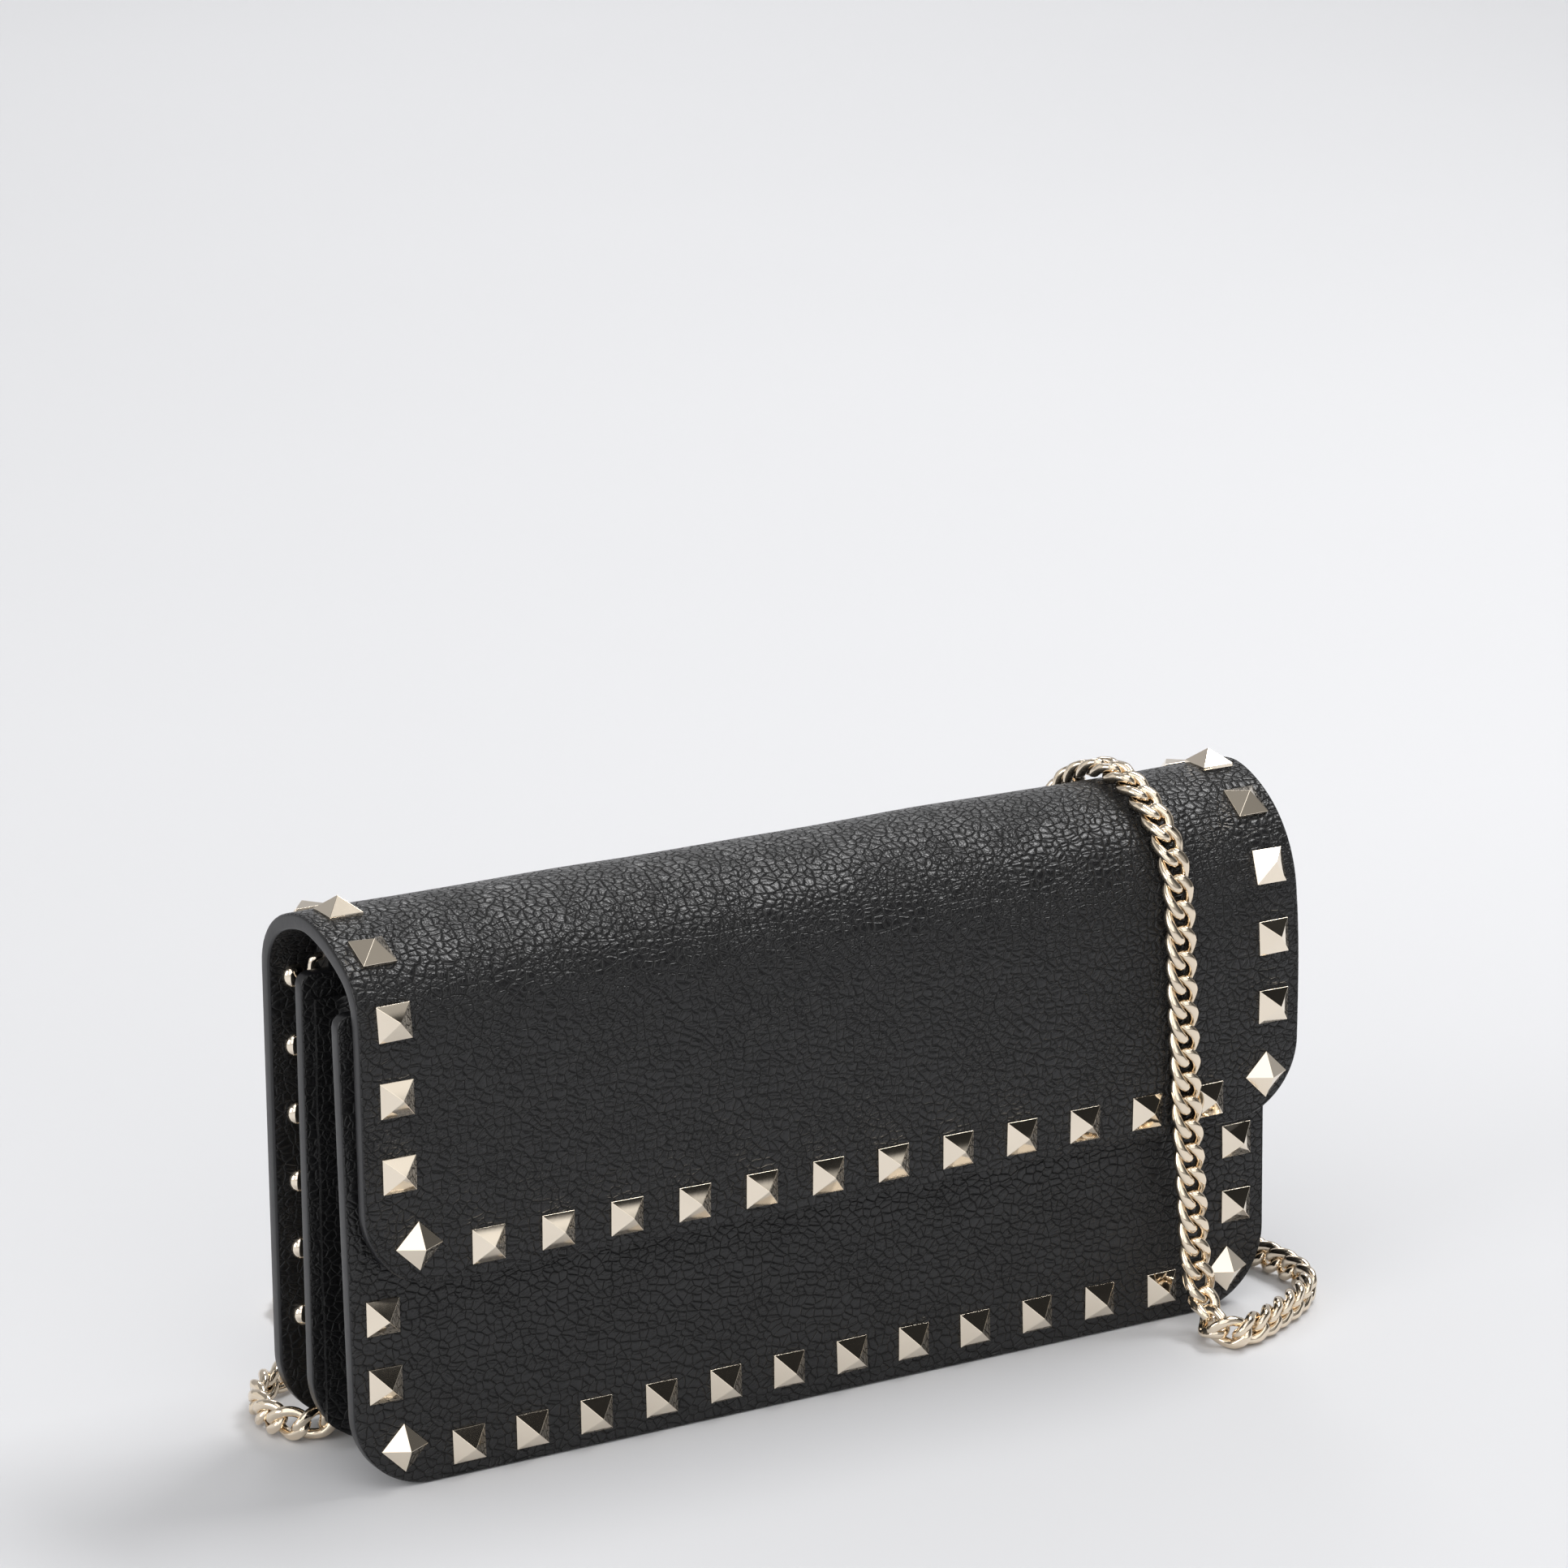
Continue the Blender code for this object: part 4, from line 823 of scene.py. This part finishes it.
G = 0.9
front_back = T + 0.25
y0, y1 = front_back + G / 2 + 0.05, MID_Y[0] - 0.25 - G / 2
for side, edge_x, mirror in (("left", FRONT_X[0], 1), ("right", FRONT_X[1], -1)):
    e = edge_x + mirror * 3.6
    plan = [
        (e, y0), (e + mirror * 6, y0), (e + mirror * 9.5, (y0 * 3 + y1) / 4), (e + mirror * 11.5, (y0 + y1) / 2),
        (e + mirror * 9.5, (y0 + y1 * 3) / 4), (e + mirror * 6, y1), (e + mirror * 0.5, y1),
    ]
    gusset = fold(f"front_gusset_{side}_web", plan, edge_x, 89.5, G, lean=(y0, y1))
    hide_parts(f"front_gusset_{side}")
    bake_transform(gusset)
y0r, y1r = MID_Y[1] + 0.25 + G / 2, BACK_Y - T - 0.25 - G / 2
for side, edge_x, mirror in (("left", -97.2, 1), ("right", 101.4, -1)):
    e = edge_x + mirror * 14.6
    plan = [
        (e, y0r), (e + mirror * 5, y0r), (e + mirror * 8, (y0r * 3 + y1r) / 4), (e + mirror * 9.5, (y0r + y1r) / 2),
        (e + mirror * 8, (y0r + y1r * 3) / 4), (e + mirror * 5, y1r), (e, y1r),
    ]
    gusset = fold(f"rear_gusset_{side}_web", plan, edge_x, 89.5, G)
    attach(gusset, "base")
    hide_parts(f"rear_gusset_{side}")


# ---- studs ------------------------------------------------------------------
STUD, STUD_H = 6.75, 3.0


def pyramid(bm, place, x, s, turned=False, tilt=0.0, lean=-0.1):
    """A four-sided pyramid stud: low skirt sunk in the leather, thin bright
    rim, sharp faces. place maps (x, s, height) to the wallet."""
    h = STUD / 2
    c, q = math.cos(math.radians(tilt + (45 if turned else 0))), math.sin(math.radians(tilt + (45 if turned else 0)))
    levels = [(h, -0.35), (h, 0.30), (h - 0.13, 0.40)]
    rings = []
    for size, height in levels:
        ring = []
        for u, v in ((size, -size), (size, size), (-size, size), (-size, -size)):
            ring.append(bm.verts.new(place(x, s, u * c - v * q, u * q + v * c, height)))
        rings.append(ring)
    top = bm.verts.new(place(x, s, 0.0, lean * (0.0 if turned else 1.0), STUD_H))
    for a, b in zip(rings, rings[1:]):
        for i in range(4):
            j = (i + 1) % 4
            bm.faces.new((a[i], a[j], b[j], b[i]))
    for i in range(4):
        bm.faces.new((rings[-1][i], rings[-1][(i + 1) % 4], top))
    bm.faces.new(rings[0][::-1])


def spot(surface):
    """u and v in the tangent plane at (x, s), height out of the leather."""
    def place(x, s, u, v, height):
        p, n = surface(x, s, 0.0)
        a, _ = surface(x, s - 0.8, 0.0)
        b, _ = surface(x, s + 0.8, 0.0)
        t = (b - a) / np.linalg.norm(b - a)
        r = p + np.array([u, 0, 0]) + t * v + n * height
        return W(*r)
    return place


rng = random.Random(5)


def stud_piece(name, surface, spots, corners, body, node_name):
    bm = bmesh.new()
    for x, s in spots:
        pyramid(bm, spot(surface), x, s, tilt=rng.uniform(-1.0, 1.0), lean=-0.36 if body == "flap" else -0.22)
    for x, s in corners:
        pyramid(bm, spot(surface), x, s, turned=True, tilt=rng.uniform(-1.0, 1.0))
    obj = bm_object(name, bm, GOLD, sharp=12, bevel=0.00007)
    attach(obj, body)
    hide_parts(node_name)
    return obj


stud_piece("flap_row_pyramids", wrap_place, flap_row, flap_corners, "flap", "flap_row_studs")
stud_piece("flap_left_pyramids", wrap_place, flap_left, [], "flap", "flap_left_studs")
stud_piece("flap_right_pyramids", wrap_place, flap_right, [], "flap", "flap_right_studs")
stud_piece("back_row_pyramids", wrap_place, back_row, back_corners, "base", "back_row_studs")
stud_piece("back_left_pyramids", wrap_place, back_left, [], "base", "back_left_studs")
stud_piece("back_right_pyramids", wrap_place, back_right, [], "base", "back_right_studs")
stud_piece("front_row_pyramids", front_place, front_row, front_corners, "front_panel", "front_row_studs")
stud_piece("front_left_pyramids", front_place, front_left, [], "front_panel", "front_left_studs")
stud_piece("front_right_pyramids", front_place, front_right, [], "front_panel", "front_right_studs")


def lathe(bm, centre, axis, profile, sides=24):
    """Turns (radius, height) pairs about an axis through centre, in mm."""
    axis = Vector(axis).normalized()
    side = axis.orthogonal().normalized()
    other = axis.cross(side)
    rings = []
    for r, h in profile:
        if r < 1e-4:
            rings.append([bm.verts.new(W(*(Vector(centre) + axis * h)))])
            continue
        rings.append([bm.verts.new(W(*(Vector(centre) + axis * h + (side * math.cos(2 * math.pi * i / sides) + other * math.sin(2 * math.pi * i / sides)) * r))) for i in range(sides)])
    for a, b in zip(rings, rings[1:]):
        for i in range(sides):
            j = (i + 1) % sides
            if len(a) == 1:
                bm.faces.new((a[0], b[j], b[i]))
            elif len(b) == 1:
                bm.faces.new((a[i], a[j], b[0]))
            else:
                bm.faces.new((a[i], a[j], b[j], b[i]))
    if len(rings[0]) > 1:
        bm.faces.new(rings[0][::-1])
    if len(rings[-1]) > 1:
        bm.faces.new(rings[-1])


# domed caps on the inside of the back
for side, spots in (("left", back_left), ("right", back_right)):
    bm = bmesh.new()
    for x, s in spots:
        dome = [(2.3, -0.2), (2.3, 0.1), (2.24, 0.36), (2.05, 0.72), (1.7, 1.05), (1.22, 1.3), (0.64, 1.45), (0.0, 1.5)]
        lathe(bm, (x, BACK_Y - T, s), (0, -1, 0), dome, 24)
    domes = bm_object(f"back_{side}_domes", bm, GOLD, sharp=50)
    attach(domes, "base")

# snap halves
bm = bmesh.new()
p, n = wrap_place(3.0, FOLD_Z + ARCH_LEN - 16.1, T)
disc = [(6.3, -0.2), (6.3, 0.25), (6.1, 0.42), (5.6, 0.5), (3.4, 0.5), (3.1, 0.38), (2.9, 0.38), (0.0, 0.38)]
lathe(bm, tuple(p), tuple(-n), disc, 40)
cap = bm_object("snap_cap_disc", bm, ZIP_GOLD)
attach(cap, "flap")
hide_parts("snap_cap")
bm = bmesh.new()
p, n = front_place(3.0, 56.0, 0.0)
disc = [(6.5, -0.15), (6.5, 0.3), (6.3, 0.45), (5.8, 0.52), (3.6, 0.52), (3.3, 0.3), (0.0, 0.3)]
lathe(bm, tuple(p), tuple(n), disc, 40)
socket = bm_object("snap_socket_disc", bm, ZIP_GOLD)
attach(socket, "front_panel")
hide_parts("snap_socket")


# ---- tubes and chain hardware -----------------------------------------------
def tube(bm, points, radius, sides=14, closed=False, flat=None):
    pts = [Vector(p) for p in points]
    n = len(pts)
    tangents = []
    for i in range(n):
        a = pts[(i - 1) % n] if closed or i > 0 else pts[0]
        b = pts[(i + 1) % n] if closed or i < n - 1 else pts[-1]
        tangents.append((b - a).normalized())
    helper = Vector((0, 0, 1)) if abs(tangents[0].z) < 0.9 else Vector((0, 1, 0))
    normal = tangents[0].cross(helper).normalized()
    rings = []
    for p, t in zip(pts, tangents):
        normal = (normal - t * normal.dot(t)).normalized()
        other = t.cross(normal)
        rings.append([bm.verts.new(W(*(p + (normal * math.cos(2 * math.pi * k / sides) + other * math.sin(2 * math.pi * k / sides)) * radius))) for k in range(sides)])
    pairs = list(zip(rings, rings[1:])) + ([(rings[-1], rings[0])] if closed else [])
    if closed:
        # the last ring meets the first at the nearest turn
        best = min(range(sides), key=lambda k: (rings[-1][0].co - rings[0][k].co).length)
        pairs[-1] = (rings[-1], rings[0][best:] + rings[0][:best])
    for a, b in pairs:
        for k in range(sides):
            m = (k + 1) % sides
            bm.faces.new((a[k], a[m], b[m], b[k]))
    if not closed:
        bm.faces.new(rings[0][::-1])
        bm.faces.new(rings[-1])


BAR, ARC = (27.9, 95.2), (29.4, 87.1)
RING_WIRE, HOOK_R, HOOK_WIRE = 0.8, 3.2, 0.8
HOOK_C = ARC[1] + RING_WIRE + 0.3 - (HOOK_R - HOOK_WIRE)
for side, x in (("left", LEFT_X), ("right", RIGHT_X)):
    def tilt(px, down):
        f = down / (BAR[1] - ARC[1])
        return (px, BAR[0] + (ARC[0] - BAR[0]) * f, BAR[1] - down)

    half, drop = 5.6, BAR[1] - ARC[1]
    path = [tilt(x - half + 0.8, 0), tilt(x - 2, 0), tilt(x + 2, 0), tilt(x + half - 0.8, 0), tilt(x + half - 0.15, 0.5), tilt(x + half, 1.4)]
    for i in range(0, 19):
        a = math.radians(-180 * i / 18)
        path.append(tilt(x + half * math.cos(a), drop - 5.2 - 5.2 * math.sin(a)))
    path += [tilt(x - half, 1.4), tilt(x - half + 0.15, 0.5)]
    bm = bmesh.new()
    tube(bm, path, RING_WIRE, closed=True)
    ring = bm_object(f"{side}_d_ring_wire", bm, GOLD, sharp=None)
    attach(ring, "base")
    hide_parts(f"{side}_d_ring")

    cx, cy = x, ARC[0]
    path = [(cx, cy, HOOK_C - 9.4), (cx, cy, HOOK_C - 7.0), (cx, cy, HOOK_C - 5.2), (cx, cy, HOOK_C - 4.4)]
    for i in range(0, 25):
        a = math.radians(-100 - (360 - 100 - 28) * i / 24)
        path.append((cx, cy + HOOK_R * math.cos(a), HOOK_C + HOOK_R * math.sin(a)))
    bm = bmesh.new()
    tube(bm, path, HOOK_WIRE)
    hook = bm_object(f"{side}_hook_wire", bm, GOLD, sharp=50)
    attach(hook, f"{side}_hook_body")
    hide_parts(f"{side}_hook")
    bm = bmesh.new()
    tube(bm, [(cx, cy + 2.0, HOOK_C - 3.3), (cx, cy + 2.45, HOOK_C - 2.3), (cx, cy + 2.8, HOOK_C - 1.2), (cx, cy + 3.05, HOOK_C + 0.3)], 0.55)
    gate = bm_object(f"{side}_gate_wire", bm, ZIP_GOLD, sharp=50)
    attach(gate, f"{side}_gate_body")
    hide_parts(f"{side}_hook_gate")
    z = HOOK_C - 9.7
    bm = bmesh.new()
    lathe(bm, (x, ARC[0], z), (0, 0, -1), [(0.0, 0.0), (1.4, 0.0), (1.62, 0.2), (1.7, 0.5), (1.7, 1.5), (1.6, 1.75), (1.1, 2.3), (0.0, 2.35)], 24)
    tube(bm, [(x, ARC[0] + 2.5 * math.cos(2 * math.pi * i / 24), z - 4.2 + 2.5 * math.sin(2 * math.pi * i / 24)) for i in range(24)], 0.7, closed=True)
    eye = bm_object(f"{side}_swivel_eye", bm, GOLD, sharp=40)
    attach(eye, "base")
    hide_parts(f"{side}_hook_eye")

    # leather tab wrapped round the ring's bar
    loop, inner = [], []
    plan = [(MID_Y[1] + 0.3, 90.3), (MID_Y[1] + 0.3, 93.2)]
    for i in range(0, 15):
        a = math.radians(195 - 300 * i / 14)
        plan.append((BAR[0] + 2.6 * math.cos(a), BAR[1] + 2.6 * math.sin(a)))
    plan += [(MID_Y[1] + 2.2, 92.2), (MID_Y[1] + 1.6, 90.3)]
    bm = bmesh.new()
    rings = []
    for px in (x - 3.6, x - 3.4, x + 3.4, x + 3.6):
        inset = 0.2 if abs(px - x) > 3.5 else 0.0
        mid_y, mid_z = BAR[0] - 1.0, 93.8
        rings.append([bm.verts.new(W(px, yy + (mid_y - yy) * inset * 0.2, zz + (mid_z - zz) * inset * 0.2)) for yy, zz in plan])
    for a, b in zip(rings, rings[1:]):
        for i in range(len(plan)):
            j = (i + 1) % len(plan)
            bm.faces.new((a[i], a[j], b[j], b[i]))
    bm.faces.new(rings[0][::-1])
    bm.faces.new(rings[-1])
    uv = bm.loops.layers.uv.new("grain")
    for face in bm.faces:
        for loop_ in face.loops:
            loop_[uv].uv = (loop_.vert.co.x, loop_.vert.co.z + loop_.vert.co.y)
    tab = bm_object(f"{side}_tab_leather", bm, INNER_SHADED, sharp=50)
    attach(tab, "base")
    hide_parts(f"{side}_ring_tab")


# ---- zip --------------------------------------------------------------------
ZIP_X, ZIP_Z = (-66.0, 72.0), 68.0
ZIP_FACE = BACK_Y - T + 0.1


def slab(bm, x0, x1, y0, y1, z0, z1):
    v = [bm.verts.new(W(x, y, z)) for x in (x0, x1) for y in (y0, y1) for z in (z0, z1)]
    for f in ((0, 1, 3, 2), (4, 6, 7, 5), (0, 4, 5, 1), (2, 3, 7, 6), (0, 2, 6, 4), (1, 5, 7, 3)):
        bm.faces.new([v[i] for i in f])


for name, sign in (("upper", 1), ("lower", -1)):
    bm = bmesh.new()
    z0, z1 = sorted((ZIP_Z + sign * 0.25, ZIP_Z + sign * 3.9))
    slab(bm, ZIP_X[0] - 2.6, ZIP_X[1] + 2.6, ZIP_FACE - 0.12, ZIP_FACE + 0.3, z0, z1)
    tape = bm_object(f"zip_tape_{name}_woven", bm, CLOTH, bevel=0.0001)
    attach(tape, "base")
    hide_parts(f"zip_tape_{name}")
    bm = bmesh.new()
    teeth = 92
    step = (ZIP_X[1] - ZIP_X[0]) / teeth
    for i in range(teeth):
        if i % 2 == (0 if sign > 0 else 1):
            tx = ZIP_X[0] + step * (i + 0.5)
            z0, z1 = sorted((ZIP_Z - sign * 0.45, ZIP_Z + sign * 1.35))
            slab(bm, tx - 0.5, tx + 0.5, ZIP_FACE - 0.55, ZIP_FACE + 0.05, z0, z1)
    teeth_piece = bm_object(f"zip_teeth_{name}_row", bm, ZIP_GOLD, bevel=0.00012)
    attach(teeth_piece, "base")
    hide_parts(f"zip_teeth_{name}")
bm = bmesh.new()
# stitched leather welt round the zip's window
for z0, z1 in ((ZIP_Z + 3.6, ZIP_Z + 5.4), (ZIP_Z - 5.4, ZIP_Z - 3.6)):
    slab(bm, ZIP_X[0] - 4.6, ZIP_X[1] + 4.6, ZIP_FACE - 0.35, ZIP_FACE + 0.1, z0, z1)
for x0, x1 in ((ZIP_X[0] - 4.6, ZIP_X[0] - 2.8), (ZIP_X[1] + 2.8, ZIP_X[1] + 4.6)):
    slab(bm, x0, x1, ZIP_FACE - 0.35, ZIP_FACE + 0.1, ZIP_Z - 3.5, ZIP_Z + 3.5)
welt = bm_object("zip_welt", bm, EDGE, bevel=0.0002)
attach(welt, "base")

for name in ("zip_stop_closed", "zip_stop_open", "zip_slider", "zip_pull"):
    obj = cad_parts[name]
    for material_slot in obj.material_slots:
        material_slot.material = ZIP_GOLD
for name in ("zip_pocket_bag",):
    for material_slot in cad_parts[name].material_slots:
        material_slot.material = CLOTH
for name in ("front_gusset_base", "rear_gusset_base"):
    for material_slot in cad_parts[name].material_slots:
        material_slot.material = EDGE


# ---- stage and light --------------------------------------------------------
def stage_material():
    mat, tree, shader = new_material("paper_floor")
    coordinates = node(tree, "ShaderNodeTexCoord")
    mottle = node(tree, "ShaderNodeTexNoise", Scale=3.0, Detail=2.0)
    tree.links.new(coordinates.outputs["Object"], mottle.inputs["Vector"])
    tree.links.new(ramp(tree, mottle.outputs["Fac"], [(0.3, (0.740, 0.745, 0.765)), (0.7, (0.750, 0.755, 0.775))]), shader.inputs["Base Color"])
    shader.inputs["Roughness"].default_value = 0.9
    shader.inputs["Specular IOR Level"].default_value = 0.1
    return mat


bm = bmesh.new()
bend, far, high, wide = 1.2, 3.2, 4.5, 7.0
profile = [(-4.0, 0.0), (-1.0, 0.0), (far - bend, 0.0)]
for i in range(1, 17):
    a = math.pi / 2 * i / 16
    profile.append((far - bend + bend * math.sin(a), bend - bend * math.cos(a)))
profile.append((far, high))
turn = Matrix.Rotation(math.radians(-29.968), 3, "Z")
rings = []
for along, up in profile:
    rings.append([bm.verts.new(turn @ Vector((side, along, up))) for side in (-wide, wide)])
for a, b in zip(rings, rings[1:]):
    bm.faces.new((a[0], a[1], b[1], b[0]))
bmesh.ops.translate(bm, vec=(0, 0, -0.0001), verts=bm.verts)
sweep = bm_object("studio_sweep", bm, stage_material(), sharp=None)


def area(name, location, target, size, power, colour=(1, 1, 1), size_y=None):
    light = bpy.data.lights.new(name, "AREA")
    light.shape = "RECTANGLE"
    light.size = size
    light.size_y = size_y or size
    light.energy = power
    light.color = colour
    obj = bpy.data.objects.new(name, light)
    bpy.context.scene.collection.objects.link(obj)
    obj.location = location
    aim = Vector(target) - Vector(location)
    obj.rotation_euler = aim.to_track_quat("-Z", "Y").to_euler()
    return obj


area("arch_box", (0.85, 0.14, 1.5), (0.0, 0.0, 0.05), 1.0, 14.5, size_y=0.5)
area("overhead", (-0.35, -0.45, 1.9), (0.0, -0.2, 0.0), 1.2, 3.6, size_y=1.2)
area("backdrop_pool", (0.86, 1.65, 1.3), (0.84, 1.55, 0.0), 0.5, 6.5)
area("left_box", (-1.9, -0.4, 0.9), (0.0, 0.0, 0.05), 1.0, 8.5, size_y=1.2)
area("front_fill", (-0.6, -1.7, 1.25), (0.0, -0.3, 0.0), 2.0, 10.5)

# the studio round the object: white cards below, left and behind, dark flags
# to the right and high in front
world = bpy.data.worlds.new("studio")
bpy.context.scene.world = world
world.use_nodes = True
wt = world.node_tree
background = wt.nodes["Background"]
direction = wt.nodes.new("ShaderNodeTexCoord")
split = wt.nodes.new("ShaderNodeSeparateXYZ")
wt.links.new(direction.outputs["Generated"], split.inputs[0])
azimuth = maths(wt, "ARCTAN2", split.outputs["X"], maths(wt, "MULTIPLY", split.outputs["Y"], -1.0))
height_of = maths(wt, "ARCSINE", split.outputs["Z"])


def step_at(value, low, high):
    """0 below low, 1 above high (degrees), smooth between."""
    made = wt.nodes.new("ShaderNodeMapRange")
    made.interpolation_type = "SMOOTHSTEP"
    made.inputs["From Min"].default_value = math.radians(low)
    made.inputs["From Max"].default_value = math.radians(high)
    wt.links.new(value, made.inputs["Value"])
    return made.outputs["Result"]


def between(a, b, share):
    """a where share is 0, b where it is 1."""
    if not isinstance(a, (int, float)) or not isinstance(b, (int, float)):
        return maths(wt, "ADD", maths(wt, "MULTIPLY", a, maths(wt, "SUBTRACT", 1.0, share)), maths(wt, "MULTIPLY", b, share))
    return maths(wt, "ADD", maths(wt, "MULTIPLY", share, b - a), a)


# azimuth 0 is towards -Y, positive to the right
low_band = between(between(0.78, 0.40, step_at(azimuth, -50, -5)), 0.10, step_at(azimuth, 20, 50))
low_band = between(low_band, 0.26, step_at(azimuth, 80, 130))
card = between(between(0.95, 0.40, step_at(azimuth, 43, 50)), 0.03, step_at(azimuth, 52, 56))
card = between(between(card, 0.80, step_at(azimuth, 66, 80)), 0.30, step_at(azimuth, 125, 150))
front_high = between(between(0.02, card, step_at(height_of, 47.9, 49.8)), 0.16, step_at(height_of, 68, 76))
behind = maths(wt, "SUBTRACT", 1.0, step_at(azimuth, -75, -55))
high = between(front_high, 0.30, behind)
level = between(low_band, high, step_at(height_of, 39, 43))
wt.links.new(level, background.inputs["Strength"])
background.inputs["Color"].default_value = (1.0, 0.99, 0.975, 1.0)

scene = bpy.context.scene
scene.view_settings.view_transform = "Standard"
scene.view_settings.look = "None"
